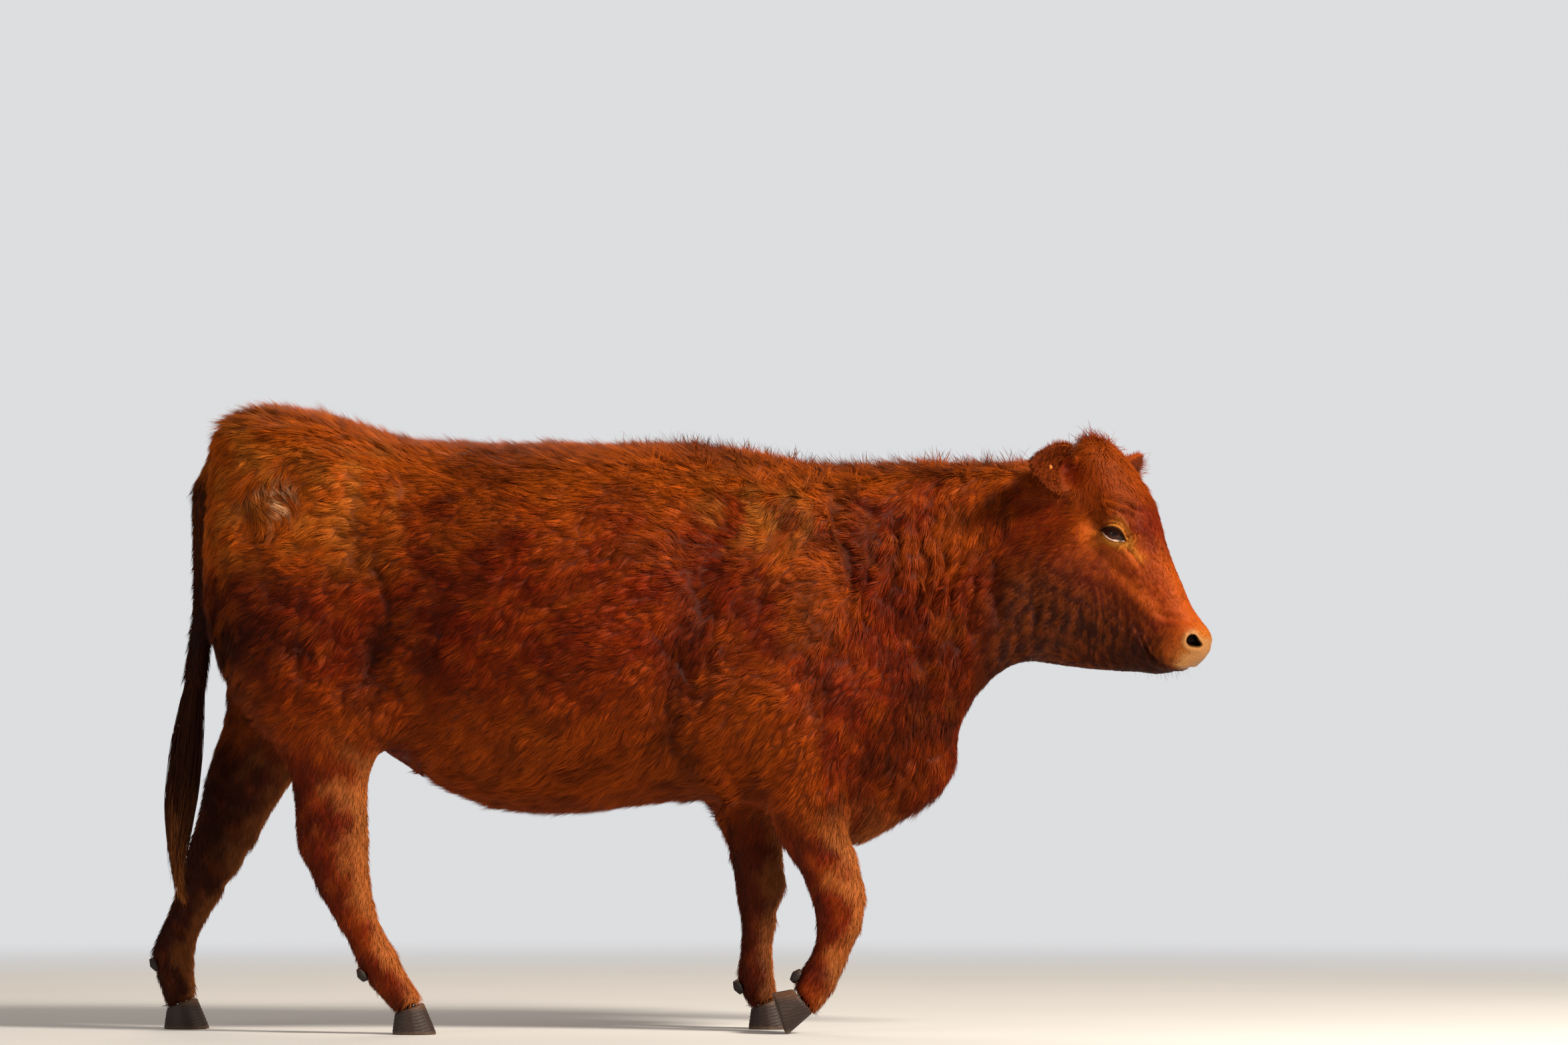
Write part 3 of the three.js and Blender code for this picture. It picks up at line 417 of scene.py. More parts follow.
refine(hide_mesh, on_face)
hide_points = points_of(hide_mesh)
share = 0.25 * on_face(hide_points) * (1 - 0.7 * regions(hide_points)["ear"])
set_points(hide_mesh, relax(hide_points, edges_of(hide_mesh), share, 4))
refine(hide_mesh, lambda p: near_holes(p, 54) | near_mouth(p))
refine(hide_mesh, lambda p: near_holes(p, 42))
hide_points = points_of(hide_mesh)
fine = near_holes(hide_points, 52) | near_mouth(hide_points)
set_points(hide_mesh, relax(hide_points, edges_of(hide_mesh), 0.3 * fine, 6))
print("hide with a finer face:", len(hide_mesh.vertices), "points,", len(hide_mesh.polygons), "faces")

# %% [markdown]
# ## Lids
# A real eyelid is a thin cloak of skin that follows the ball, with an almond opening. It could be a
# separate ring of skin, but then a seam would show. Here the hide itself is moved: outside the almond it
# lies a lid's thickness off the ball, and inside it dives behind the ball, so the ball fills the opening.

# %% The almond opening and the lids
EYE_TILT = math.radians(14)
EYE_HALF = 26.5
CORNERS = -5.0


def eye_axes(side):
    """One eye's directions in the head's axes: out of the head, along the almond and above it."""
    out = unit(np.array([0.10, side, 0.05]))
    along = np.array([math.cos(EYE_TILT), 0, math.sin(EYE_TILT)])
    along = unit(along - out * (along @ out))
    above = np.cross(out, along) * -side
    return out, along, above * np.sign(above[2])


def eye_chart(h, side):
    """On one eye: millimetres along the almond, above it and from the ball's middle, and the way out."""
    out, along, above = eye_axes(side)
    rel = h - to_head(eye_centres[side])
    away = unit(rel)
    front = np.clip(away @ out, -1, 1)
    stretch = EYEBALL * np.arccos(front) / np.maximum(np.sqrt(1 - front**2), 1e-6)
    return stretch * (away @ along), stretch * (away @ above), np.linalg.norm(rel, axis=1), away


def upper_lid(t):
    """Height of the upper lid's edge, in millimetres, for t from -1 to 1 along the almond."""
    return CORNERS + 15.5 * (1 - np.abs(t - 0.06 * (1 - t * t)) ** 2.2)


def opening(x, y):
    """Millimetres outside (positive) or inside (negative) the almond of the open eye."""
    t = np.clip(x / EYE_HALF, -1, 1)
    lower = CORNERS - 5.5 * (1 - np.abs(t - 0.10 * (1 - t * t)) ** 1.9)
    return np.maximum(np.maximum(y - upper_lid(t), lower - y), np.abs(x) - EYE_HALF)


def shape_lids(points):
    """Moves the hide round the eyes into lids, and behind the ball inside the almonds."""
    h = to_head(points)
    for side in (-1, 1):
        x, y, radius, away = eye_chart(h, side)
        near = (radius < 62) & (away[:, 1] * side > 0.1)
        gap = opening(x, y)
        above = smoothstep(-8, -2, y)
        thick = LID + above * 2.6 * np.exp(-(((gap - 4.5) / 4.0) ** 2))
        lid = EYEBALL + thick - (thick + 3.5) * smoothstep(0.9, -0.5, gap)
        fold = 2.8 * above * np.exp(-(((gap - 11.5) / 2.0) ** 2))
        fold += 1.3 * (1 - above) * np.exp(-(((gap - 8.5) / 1.8) ** 2))
        brow = 4.5 * smoothstep(4, 20, y) * np.exp(-(((gap - 24) / 11) ** 2))
        on_ball = smoothstep(17, 8, gap)
        target = blend(np.maximum(radius, EYEBALL + 0.5), lid, on_ball) - fold + brow
        h = h + away * ((target - radius) * near * smoothstep(40, 24, gap))[:, None]
    return from_head(h)


hide_points = shape_lids(points_of(hide_mesh))
set_points(hide_mesh, hide_points)
along_almond, above_almond, from_middle, _ = eye_chart(to_head(hide_points), -1)
in_almond = (opening(along_almond, above_almond) < 0) & (from_middle < 30)
print("points inside the right almond:", int(in_almond.sum()))

# %% [markdown]
# ## Nostrils, mouth and folds of the face
# The rest of the face is sculpted in the same way: each fold is a bent line on the side of the head, in
# millimetres ahead and towards the brow, with a width and a depth. Both sides get the same folds.

# %% Sculpt the face
NOSTRIL_OUT = unit(np.array([0.62, 0.76, 0.12]))
NOSTRIL_ALONG = unit(np.array([0.76, -0.62, 0.10]))


def nostril_gap(h):
    """Millimetres outside (positive) the comma-shaped hole of the nostril."""
    above = np.cross(NOSTRIL_ALONG, NOSTRIL_OUT)
    above *= np.sign(above[2])
    rel = mirrored(h) - NOSTRIL
    x, y = rel @ NOSTRIL_ALONG, rel @ above
    hollow = np.hypot(x + 6, y - 1) - 12.5
    front = np.hypot((x - 8) / 1.7, y + 2) - 6.8
    return -4.0 * np.log(sum(np.exp(-np.clip(gap, -40, 400) / 4.0) for gap in (hollow, front)))


FACE_CREASES = [
    # name, bent line (ahead, brow), width, depth
    ("tear groove", [(101, 109), (110, 103), (122, 100), (138, 92), (156, 84), (172, 66)], 4.0, 2.4),
    ("front of the lids", [(98, 128), (108, 120), (116, 108), (122, 96)], 2.6, 1.8),
    ("brow line", [(1, 146), (20, 162), (57, 170), (86, 174)], 5, 3.0),
    ("second brow line", [(22, 140), (47, 154), (80, 160), (104, 150)], 4, 2.4),
    ("fold over the lid", [(50, 124), (62, 138), (82, 142), (100, 132)], 3, 1.8),
    ("behind the eye", [(44, 118), (32, 108), (24, 92)], 5, 2.4),
    ("under the eye", [(52, 88), (76, 82), (104, 88)], 5, 1.6),
    ("under the cheekbone", [(105, 58), (150, 52), (200, 38)], 14, 5.0),
    ("lower lip", [(236, -66), (262, -74), (292, -72), (318, -62)], 6, 2.6),
    ("side of the nose", [(170, 62), (215, 48), (262, 24)], 12, 1.8),
    ("above the muzzle", [(235, 30), (257, 34), (289, 52), (322, 64), (334, 66)], 6, 3.0),
    ("corner of the mouth", [(206, -12), (218, -20), (234, -24)], 7, 2.2),
    ("behind the mouth", [(186, -16), (200, -34), (212, -52)], 9, 1.8),
    ("mouth", [(236, -30), (252, -40), (274, -47), (308, -47), (338, -35), (352, -24)], 3.0, 5.0),
    ("chin", [(262, -70), (290, -66), (322, -62)], 5, 1.8),
    ("jaw edge", [(-70, -62), (-35, -120), (0, -160)], 9, 4.0),
    ("throat fold", [(40, -96), (52, -120), (56, -146)], 7, 3.5),
    ("under the jaw", [(120, -60), (134, -84), (140, -110)], 8, 3.0),
    ("cheek", [(10, 60), (-10, 10), (0, -60), (40, -110)], 16, 3.0),
    ("front of the jaw muscle", [(96, -4), (110, -40), (104, -84)], 12, 3.6),
]
FACE_SWELLINGS = [
    # name, place (ahead, brow), radius, height
    ("brow ridge", (58, 150), 24, 3.5),
    ("front of the brow", (104, 140), 16, 2.5),
    ("cheekbone", (128, 72), 24, 4.0),
    ("facial crest", (176, 56), 20, 3.0),
    ("jaw muscle", (40, -30), 52, 5.0),
    ("lip", (300, -28), 18, 2.0),
    ("chin pad", (300, -60), 20, 2.5),
]


def sculpt_face(points, normals):
    """Moves the hide of the head by its folds and swellings, and sinks the nostrils."""
    h = to_head(points)
    flat = h[:, [0, 2]]
    on_head = points[:, 0] > HEAD_FROM
    on_side = smoothstep(0.15, 0.5, np.abs(normals @ head_left)) * (np.abs(h[:, 1]) > 20) * on_head
    height = np.zeros(len(points))
    for name, path, width, depth in FACE_CREASES:
        reach = 1.0 if name == "mouth" else on_side
        height += crease(flat, path, width, depth) * reach * (h[:, 0] > -100) * on_head
    for _, place, radius, swell in FACE_SWELLINGS:
        far = np.linalg.norm(flat - place, axis=1) / radius
        height += swell * np.exp(-(far**2)) * on_side
    gap = nostril_gap(h)
    close = smoothstep(40, 30, from_nostril(h))
    sink = 22 * smoothstep(1.0, -5.5, gap)
    rim = 1.2 * np.exp(-(((gap - 5.0) / 5.0) ** 2))
    outward = np.where(h[:, 1:2] > 0, 1, -1) * [[0, 1, 0]] * NOSTRIL_OUT + [[1, 0, 1]] * NOSTRIL_OUT
    move = normals * height[:, None] * mm
    return points + (move + (outward * ((rim - sink) * close)[:, None] * mm) @ head_axes)


set_points(hide_mesh, sculpt_face(hide_points, normals_of(hide_mesh)))
hide_points = points_of(hide_mesh)
in_nostrils = int((nostril_gap(to_head(hide_points)) < 0).sum())
print("face creases:", len(FACE_CREASES), "nostril points:", in_nostrils)

# %% [markdown]
# ## Folds of the body
# A walking animal's hide slides over its muscles. It gathers in upright folds on the inside of the
# turned neck, hangs in creases on the dewlap, and dips behind the shoulder and in the flank. They are
# bent lines seen from the side, as on the face, and the ones on the neck are on its inside only.

# %% Sculpt the body
BODY_CREASES = [
    # name, bent line (x, z) in metres, width and depth in millimetres, on both sides
    ("behind the shoulder", [(0.055, 0.99), (0.050, 0.88), (0.012, 0.74), (0.004, 0.62), (0.03, 0.50)],
     34, 14, True),
    ("shoulder fold", [(0.083, 0.89), (0.078, 0.80), (0.068, 0.68)], 14, 7, True),
    ("neck base", [(0.333, 1.095), (0.349, 0.970), (0.352, 0.86)], 16, 9, False),
    ("neck fold 1", [(0.385, 1.06), (0.398, 0.95), (0.390, 0.82)], 10, 11, False),
    ("neck fold 2", [(0.440, 1.05), (0.450, 0.96), (0.436, 0.80)], 9, 11, False),
    ("neck fold 3", [(0.489, 1.064), (0.497, 0.970), (0.481, 0.877), (0.47, 0.80)], 10, 12, False),
    ("neck fold 4", [(0.528, 1.048), (0.536, 0.939), (0.520, 0.845), (0.51, 0.76)], 8, 11, False),
    ("neck fold 5", [(0.567, 0.995), (0.570, 0.90), (0.560, 0.80)], 7, 9, False),
    ("neck fold 6", [(0.598, 0.96), (0.602, 0.88), (0.600, 0.79)], 8, 6, False),
    ("behind the jaw", [(0.622, 0.99), (0.637, 0.939), (0.645, 0.845), (0.669, 0.752)], 16, 9, True),
    ("dewlap 1", [(0.544, 0.830), (0.575, 0.736), (0.528, 0.564)], 14, 8, True),
    ("dewlap 2", [(0.450, 0.830), (0.513, 0.720), (0.466, 0.533)], 15, 9, True),
    ("brisket", [(0.528, 0.611), (0.497, 0.518), (0.419, 0.424)], 13, 8, True),
    ("point of the shoulder", [(0.36, 0.80), (0.30, 0.70), (0.27, 0.60)], 22, 7, True),
    ("elbow", [(0.10, 0.56), (0.15, 0.50), (0.19, 0.42)], 16, 9, True),
    ("flank", [(-0.600, 0.95), (-0.585, 0.767), (-0.611, 0.658)], 24, 12, True),
    ("side of the belly", [(-0.463, 0.830), (-0.494, 0.689)], 22, 6, True),
    ("thigh", [(-0.877, 1.064), (-0.82, 0.90), (-0.736, 0.752)], 22, 6, True),
    ("stifle", [(-0.744, 0.830), (-0.752, 0.658)], 15, 6, True),
    ("before the hip", [(-0.640, 1.09), (-0.625, 0.98), (-0.60, 0.90)], 38, 8, True),
    ("hip", [(-0.791, 1.095), (-0.795, 1.03)], 14, 4, True),
]
BODY_SWELLINGS = [
    # name, place (x, z) in metres, radius and height in millimetres
    ("point of the hip", (-0.70, 1.10), 48, 7),
    ("shoulder muscle", (0.22, 0.86), 110, 7),
    ("upper arm", (0.20, 0.66), 70, 7),
    ("round of the thigh", (-0.84, 0.84), 90, 6),
    ("stifle", (-0.70, 0.66), 50, 6),
    ("middle of the barrel", (-0.28, 0.78), 180, 6),
]


def seen_from_side(points):
    """Places from the side in millimetres, moved a little by soft waves so that no fold runs straight."""
    return points[:, [0, 2]] / mm + 14 * np.stack([waves(points, 0.16, 73), waves(points, 0.16, 74)], 1)


def sculpt_body(points, normals):
    """Moves the hide along its normals by the folds and swellings of the body, and by soft waves."""
    part = regions(points)
    flat = seen_from_side(points)
    patchy = 0.75 + 0.45 * waves(points, 0.12, 75)
    side_on = smoothstep(0.2, 0.55, np.abs(normals[:, 1]))
    right = smoothstep(0.1, 0.4, -normals[:, 1])
    height = 1.6 * waves(points, 0.20, 71) + 0.9 * waves(points, 0.07, 72)
    for _, path, width, depth, both in BODY_CREASES:
        height += patchy * crease(flat, np.array(path) / mm, width, depth) * (side_on if both else right)
    for _, place, radius, swell in BODY_SWELLINGS:
        far = np.linalg.norm(flat - np.array(place) / mm, axis=1) / radius
        height += swell * np.exp(-(far**2)) * side_on
    height *= (1 - part["head"]) * (1 - 0.8 * part["leg"]) * (1 - part["tail"])
    return points + normals * height[:, None] * mm


set_points(hide_mesh, sculpt_body(hide_points, normals_of(hide_mesh)))
hide_points = points_of(hide_mesh)
print("body creases:", len(BODY_CREASES), "swellings:", len(BODY_SWELLINGS))

# %% [markdown]
# ## Colour of the coat
# A red coat is never one red. Sun and wear leave the tips of the back and rump orange, and more orange is
# laid on where the hair faces up, as painted light from above, and low on the belly, as painted light
# reflected from below. Hair that faces down, the folds, the back of the thigh and the backs and insides of
# the legs are darkened as painted shade. The tail stays dark, a golden ring runs round the eye, and the nose
# is buff. The colour is worked out once, from the place on the animal, and both the hide and every hair
# lock on it take it from there, so that they can't disagree.

# %% Coat colours
def to_linear(code):
    """A linear colour from sRGB hex."""
    parts = np.array([int(code[k : k + 2], 16) for k in (1, 3, 5)]) / 255
    return np.where(parts <= 0.04045, parts / 12.92, ((parts + 0.055) / 1.055) ** 2.4)


RED, DEEP_RED, ORANGE = to_linear("#802203"), to_linear("#4c1203"), to_linear("#b8520c")
DARK_BROWN, GOLD, BUFF = to_linear("#280d05"), to_linear("#c07c2c"), to_linear("#ab7440")
KNEE_TAN, LID_DARK, LID_PINK = to_linear("#b86a30"), to_linear("#220c07"), to_linear("#f0c4ae")
# On this line: painted shade for the hollows of the ears and inside the nostrils, and pale hair.
EAR_CUP_SHADE, NOSTRIL_SHADE, PALE_HAIR = to_linear("#421608"), to_linear("#140705"), to_linear("#c89468")

# %% [markdown]
# The ears have their own three directions: out from root to tip, across, and the way the cup opens.

# %% The ears' own axes
OUT, ACROSS, OPEN = range(3)
EARS = {
    1: {"out": (0.04, 1, 0.10), "open": (0.85, 0.25, 0.35)},
    -1: {"out": (0.02, -1, 0.08), "open": (0.88, -0.05, 0.42)},
}


def ear_axes(side):
    """An ear's directions in the body's frame: out to the tip, across, and the way it opens."""
    out = unit(np.array(EARS[side]["out"], float))
    across = unit(np.cross(EARS[side]["open"], out))
    return np.stack([out, across, np.cross(out, across)]) @ head_axes


def ear_axis(points, which):
    """One direction, OUT, ACROSS or OPEN, of the ear nearer to each point."""
    return np.where(to_head(points)[:, 1:2] > 0, ear_axes(1)[which], ear_axes(-1)[which])


def ear_inside(points, normals):
    """Share from 0 to 1 of the hollow face of an ear."""
    facing = np.sum(normals * ear_axis(points, OPEN), axis=1)
    return regions(points)["ear"] * smoothstep(0.05, 0.45, facing)


# %% [markdown]
# The markings are laid over the red one by one, roughly from the largest to the smallest: a darker lower
# side, the orange of the back and rump with painted light on top, blotches, painted shade in the folds,
# behind the thigh and under the belly, the legs with painted light in front and painted shade behind and
# inside, the whorl on the hip, and last face and ears with painted shade under the jaw and in the ears.

# %% Markings from place
HIP_WHORL = np.array([-0.81, 1.075])


def fold_shade(points, normals):
    """Share from 0 to 1 of being deep in a fold of the body."""
    flat = seen_from_side(points)
    deep = np.zeros(len(points))
    for _, path, width, depth, both in BODY_CREASES:
        gap, along = distance_to_path(flat, np.array(path) / mm)
        side = np.abs(normals[:, 1]) if both else -normals[:, 1]
        fade = np.sin(math.pi * np.clip(0.08 + 0.84 * along, 0, 1)) * depth / 12
        deep = np.maximum(deep, fade * np.exp(-((gap / width) ** 2)) * smoothstep(0.1, 0.4, side))
    return np.clip(deep, 0, 1)


def from_hip(points):
    """Metres from the middle of the whorl on the right hip, seen from the side."""
    return np.linalg.norm(points[:, [0, 2]] - HIP_WHORL, axis=1)


def markings(points, normals):
    """Linear colour of the animal at each point, with painted light and shade laid into it."""
    x, y, z = points.T
    part = regions(points)
    leg, off_head = part["leg"], 1 - part["head"]

    def patches(low, high, size, seed):
        return smoothstep(low, high, waves(points, size, seed))

    rump = smoothstep(-0.45, -0.65, x) * smoothstep(0.86, 1.02, z)
    shoulder = np.exp(-(((x - 0.24) / 0.13) ** 2)) * smoothstep(0.55, 0.75, z)
    lit = np.maximum(smoothstep(0.88, 1.04, z), shoulder)
    streaks = waves(points * [2.2, 1.0, 0.35], 0.09, 19) * smoothstep(0.0, 0.2, x) * off_head
    blade = np.exp(-(((x - 0.16) / 0.12) ** 2) - ((z - 1.04) / 0.07) ** 2)
    thigh = smoothstep(-0.60, -0.72, x) * smoothstep(0.90, 0.80, z) * smoothstep(0.72, 0.78, z)
    mottled = waves(points, 0.07, 20) * off_head
    front = normals[:, 0] - 0.3 * waves(points, 0.1, 13)
    inner = np.where(y > 0, -normals[:, 1], normals[:, 1])
    whorl = np.exp(-((from_hip(points) / 0.045) ** 2)) * (y < 0)
    colour = layered(np.tile(RED, (len(points), 1)), [
        (DEEP_RED, 0.12 * smoothstep(0.95, 0.70, z)),
        (DEEP_RED, 0.35 * smoothstep(0.25, 0.60, x) * smoothstep(1.15, 1.0, z)),
        # Partly sun-bleached hair, partly painted light from above: orange where hair faces up and on the
        # rump.
        (ORANGE, 0.9 * smoothstep(0.30, 0.90, normals[:, 2]) * (z > 0.9)),
        (ORANGE * 1.15, 0.9 * rump),
        (GOLD, 0.35 * rump * patches(-0.2, 0.6, 0.10, 18)),
        (DEEP_RED, (0.5 - 0.4 * rump) * patches(0.0, 0.7, 0.30, 11)),
        # Partly painted light: orange patches on the top of the back and the shoulder, where lit.
        (ORANGE, (0.10 + 0.42 * lit) * patches(-0.5, 0.9, 0.20, 12)),
        # Painted shade: dark upright streaks on the neck and shoulder, for the shade in small folds.
        (DARK_BROWN, 0.5 * smoothstep(0.25, 0.9, streaks) * (1 - leg)),
        (GOLD, 0.45 * blade * patches(-0.1, 0.6, 0.09, 14)),
        # Painted shade behind and under the thigh.
        (DARK_BROWN, 0.8 * smoothstep(-0.76, -0.92, x) * smoothstep(1.0, 0.82, z)),
        (DARK_BROWN, 0.45 * thigh),
        # Painted light: orange low on the belly, for light reflected from below.
        (ORANGE, 0.42 * smoothstep(0.78, 0.58, z) * (1 - leg) * (x < 0.3)),
        (DARK_BROWN, 0.35 * smoothstep(0.1, 0.9, mottled)),
        (ORANGE, 0.25 * smoothstep(-0.1, -0.9, mottled)),
        # Painted shade on hair that faces down and deep in the folds of the body.
        (DARK_BROWN, 0.3 * smoothstep(0.8, 0.98, -normals[:, 2])),
        (DARK_BROWN, 0.6 * fold_shade(points, normals) * off_head),
        # Partly paler hair at the knees, partly painted light on the fronts of the legs.
        (KNEE_TAN, 0.65 * leg * smoothstep(-0.1, 0.6, front)),
        # Painted shade on the backs and the insides of the legs.
        (DARK_BROWN, 0.55 * leg * smoothstep(0.2, 0.9, -normals[:, 0])),
        (DARK_BROWN, 0.6 * leg * smoothstep(0.1, 0.7, inner)),
        (DARK_BROWN, 0.5 * whorl),
        (PALE_HAIR, 0.95 * whorl * patches(0.1, 0.6, 0.035, 15)),
        (DARK_BROWN, 0.85 * part["tail"]),
    ])
    colour = face_markings(colour, to_head(points), part["head"] * (x > HEAD_FROM))
    # Painted shade in the hollow of each ear, darker on the right ear.
    in_ear = np.where(y < 0, 0.6, 0.4) * ear_inside(points, normals)
    return layered(colour, [(ORANGE, 0.35 * part["ear"]), (EAR_CUP_SHADE, in_ear)])


def eye_gap(h):
    """Millimetres outside the nearer eye's almond, and a share for the lower side of it."""
    gap, low = np.full(len(h), 1e3), np.zeros(len(h))
    for side in (-1, 1):
        x, y, radius, _ = eye_chart(h, side)
        here = np.where((h[:, 1] * side > 40) & (radius < 75), opening(x, y), 1e3)
        low = np.where(here < gap, smoothstep(CORNERS + 1, CORNERS - 2, y), low)
        gap = np.minimum(gap, here)
    return gap, low


FACIAL_CREST_HIGHLIGHT = [(92, 84), (123, 52), (185, 44), (238, 35)]


def face_markings(colour, h, head):
    """The colour with the face's own markings over it: painted shade on the cheek, jaw and chin and in
    the nostrils, a painted highlight on the ridge, painted light on the bridge, eye ring, nose and lips.
    """
    gap, low = eye_gap(h)
    ahead, left, brow = h.T
    across = np.abs(left)
    bridge = smoothstep(110, 220, ahead) * smoothstep(52, 22, across) * smoothstep(15, 55, brow)
    sheen = smoothstep(-0.8, 1.0, waves(h * mm, 0.022, 16)) * smoothstep(140, 90, brow)
    blotches = smoothstep(-0.8, 1.0, waves(h * mm, 0.05, 17)) * smoothstep(60, 80, across)
    ridge, _ = distance_to_path(h[:, [0, 2]], np.array(FACIAL_CREST_HIGHLIGHT, float))
    nose = smoothstep(250, 300, ahead) * smoothstep(-66, -6, brow)
    nose_top = np.exp(-(((ahead - 338) / 9) ** 2) - ((brow - 74) / 12) ** 2)
    shade_under_jaw = smoothstep(-36, -52, brow) * smoothstep(180, 240, ahead)
    in_nostril = smoothstep(0.8, -2.5, nostril_gap(h)) * (ahead > 300)
    return layered(colour, [
        # Painted shade: the lower cheek deeper red, and the lower jaw dark brown.
        (DEEP_RED, 0.65 * head * smoothstep(95, -20, brow) * smoothstep(45, 62, across)),
        (DARK_BROWN, 0.9 * head * smoothstep(25, -75, brow - 0.10 * ahead)),
        (ORANGE, 0.25 * head * sheen),
        (DARK_BROWN, 0.22 * head * blotches),
        # Painted highlight along the facial crest.
        (ORANGE, 0.35 * head * np.exp(-((ridge / 15) ** 2)) * smoothstep(35, 50, across)),
        # Painted light on the bridge of the nose, where it faces up.
        (ORANGE, 0.5 * head * bridge),
        (DEEP_RED, 0.42 * head * smoothstep(90, 130, brow) * smoothstep(170, 70, ahead)),
        (ORANGE, (0.35 + 0.25 * low) * head * smoothstep(34, 8, gap)),
        (GOLD, (0.6 + 0.2 * low) * head * smoothstep(23, 8, gap) * smoothstep(50, 72, ahead)),
        (ORANGE, 0.4 * head * nose),
        (GOLD, 0.35 * head * smoothstep(300, 335, ahead) * smoothstep(-50, 0, brow)),
        (BUFF, head * bare_muzzle(h)),
        (DEEP_RED, 0.7 * head * nose_top),
        # Painted shade under the chin.
        (DARK_BROWN, 0.8 * head * shade_under_jaw),
        (LID_DARK, 0.9 * head * smoothstep(5.0 - 1.2 * low, 2.4, gap)),
        (LID_PINK, head * low * smoothstep(1.7, 0.9, gap)),
        # Painted shade inside the nostrils.
        (NOSTRIL_SHADE, head * in_nostril),
    ])


def bare_muzzle(h):
    """Share from 0 to 1 of bare skin: the nose pad, a ring round each nostril and the lip below."""
    across = np.abs(h[:, 1])
    pad = smoothstep(334, 345, h[:, 0] + 0.10 * across) * smoothstep(80, 70, h[:, 2])
    ring = smoothstep(12, 3, nostril_gap(h)) * (h[:, 0] > 290)
    below = smoothstep(316, 334, h[:, 0]) * smoothstep(8, -6, h[:, 2]) * smoothstep(62, 40, across)
    return np.clip(np.maximum(np.maximum(pad, ring), below), 0, 1) * smoothstep(-48, -34, h[:, 2])


def paint(mesh, colours, name="coat colour"):
    """Stores one linear colour for each point of a mesh, for its material to read."""
    layer = mesh.color_attributes.new(name, "FLOAT_COLOR", "POINT")
    rgba = np.ones((len(colours), 4), np.float32)
    rgba[:, :3] = colours
    layer.data.foreach_set("color", rgba.ravel())


hide_points, hide_normals = points_of(hide_mesh), normals_of(hide_mesh)
hide_part = regions(hide_points)
hide_colour = markings(hide_points, hide_normals)
# Painted shade: the hide between the locks is darkened, most under the long coat of the body.
shade_under_hair = blend(0.38, 0.9, np.maximum(hide_part["head"], hide_part["leg"]))
paint(hide_mesh, hide_colour * shade_under_hair[:, None])
hide_h = to_head(hide_points)
bare = np.maximum(bare_muzzle(hide_h), smoothstep(3.5, 2.0, eye_gap(hide_h)[0]))
bare *= hide_part["head"] * (hide_points[:, 0] > HEAD_FROM)
paint(hide_mesh, np.repeat(bare[:, None], 3, 1), "bare skin")
print("mean colour of the hide:", hide_colour.mean(0).round(3))

# %% [markdown]
# ## The lie of the coat
# Hair doesn't grow straight out. It streams back along the barrel, down the neck and legs, and away from
# a whorl on the poll, and it wanders in waves as it dries after rain. This is the one field of directions
# that every lock follows, laid flat on the hide and then turned a little by smooth noise.

# %% The direction of the hair
POLL_WHORL = np.array([-80, 0, 205])


def turned(way, normals, angle):
    """Directions turned about the normals."""
    return way * np.cos(angle)[:, None] + np.cross(normals, way) * np.sin(angle)[:, None]


def lie_of(points, normals):
    """Direction in which the hair lies at each point."""
    x, y, z = points.T
    h = to_head(points)
    part = regions(points)
    way = layered(np.tile([-1.0, 0.0, -0.30], (len(points), 1)), [
        ([-0.80, 0, -0.65], smoothstep(0.98, 0.72, z)),
        ([-0.25, 0, -1.0], smoothstep(-0.82, -0.98, x)),
        ([-0.50, 0, -0.85], smoothstep(0.28, 0.50, x)),
        ([-1.0, 0, -0.05], smoothstep(0.60, 0.45, z) * smoothstep(0.3, 0.8, -normals[:, 2])),
        ([0.12, 0, -1.0], smoothstep(0.35, 0.6, x) * smoothstep(0.75, 0.6, z)),
        ([-0.15, 0, -1.0], part["leg"]),
        ([0, 0, -1.0], part["tail"]),
        (unit(lie_of_head(h)) @ head_axes, part["head"]),
        (ear_axis(points, OUT) - 0.25 * head_ahead, part["ear"]),
    ])
    flat = unit(way - normals * np.sum(way * normals, axis=1)[:, None])
    wild = 0.26 + 0.55 * np.exp(-(((x - 0.15) / 0.2) ** 2) - ((z - 1.02) / 0.10) ** 2)
    long_hair = wild * waves(points, 0.24, 21) + 0.20 * waves(points, 0.08, 22)
    curly = part["head"] * smoothstep(110, 60, h[:, 0]) * smoothstep(95, 120, h[:, 2])
    short_hair = (0.16 + 0.4 * curly) * waves(points, 0.05, 23)
    turn = blend(long_hair, short_hair, np.maximum(part["head"], part["leg"]))
    return turned(flat, normals, turn + 2.4 * np.exp(-((from_hip(points) / 0.055) ** 2)) * (y < 0))


def lie_of_head(h):
    """Direction of the hair on the head, in the head's own axes: away from the whorl, and down."""
    ahead, left, brow = h.T
    across = np.abs(left)
    sideways = np.sign(h[:, 1:2])
    from_whorl = unit((h - POLL_WHORL) * [1, 0.9, 0.3] + [1e-3, 0, 0])
    down_bridge = np.tile([1.0, 0.0, 0.0], (len(h), 1)) + 0.35 * sideways * [[0, 1, 0]] - [[0, 0, 0.15]]
    cheek = smoothstep(66, 92, across) * smoothstep(140, 100, brow) * smoothstep(150, 90, ahead)
    lower = smoothstep(70, 35, brow) * smoothstep(90, 170, ahead)
    return layered(from_whorl, [
        (down_bridge, smoothstep(60, 130, ahead)),
        ([-0.45, 0, -0.90], cheek),
        ([0.45, 0, -0.90], smoothstep(38, 56, across) * lower),
    ])


print("lie of the coat at the withers:", lie_of(np.array([[0.1, 0, 1.17]]), np.array([[0, 0, 1.0]])).round(2))

# %% [markdown]
# Length and stand follow the lie. This autumn coat is about three centimetres long on the barrel, nearly
# four on the back and belly, two on the legs, and under one on the nose and round the eyes.

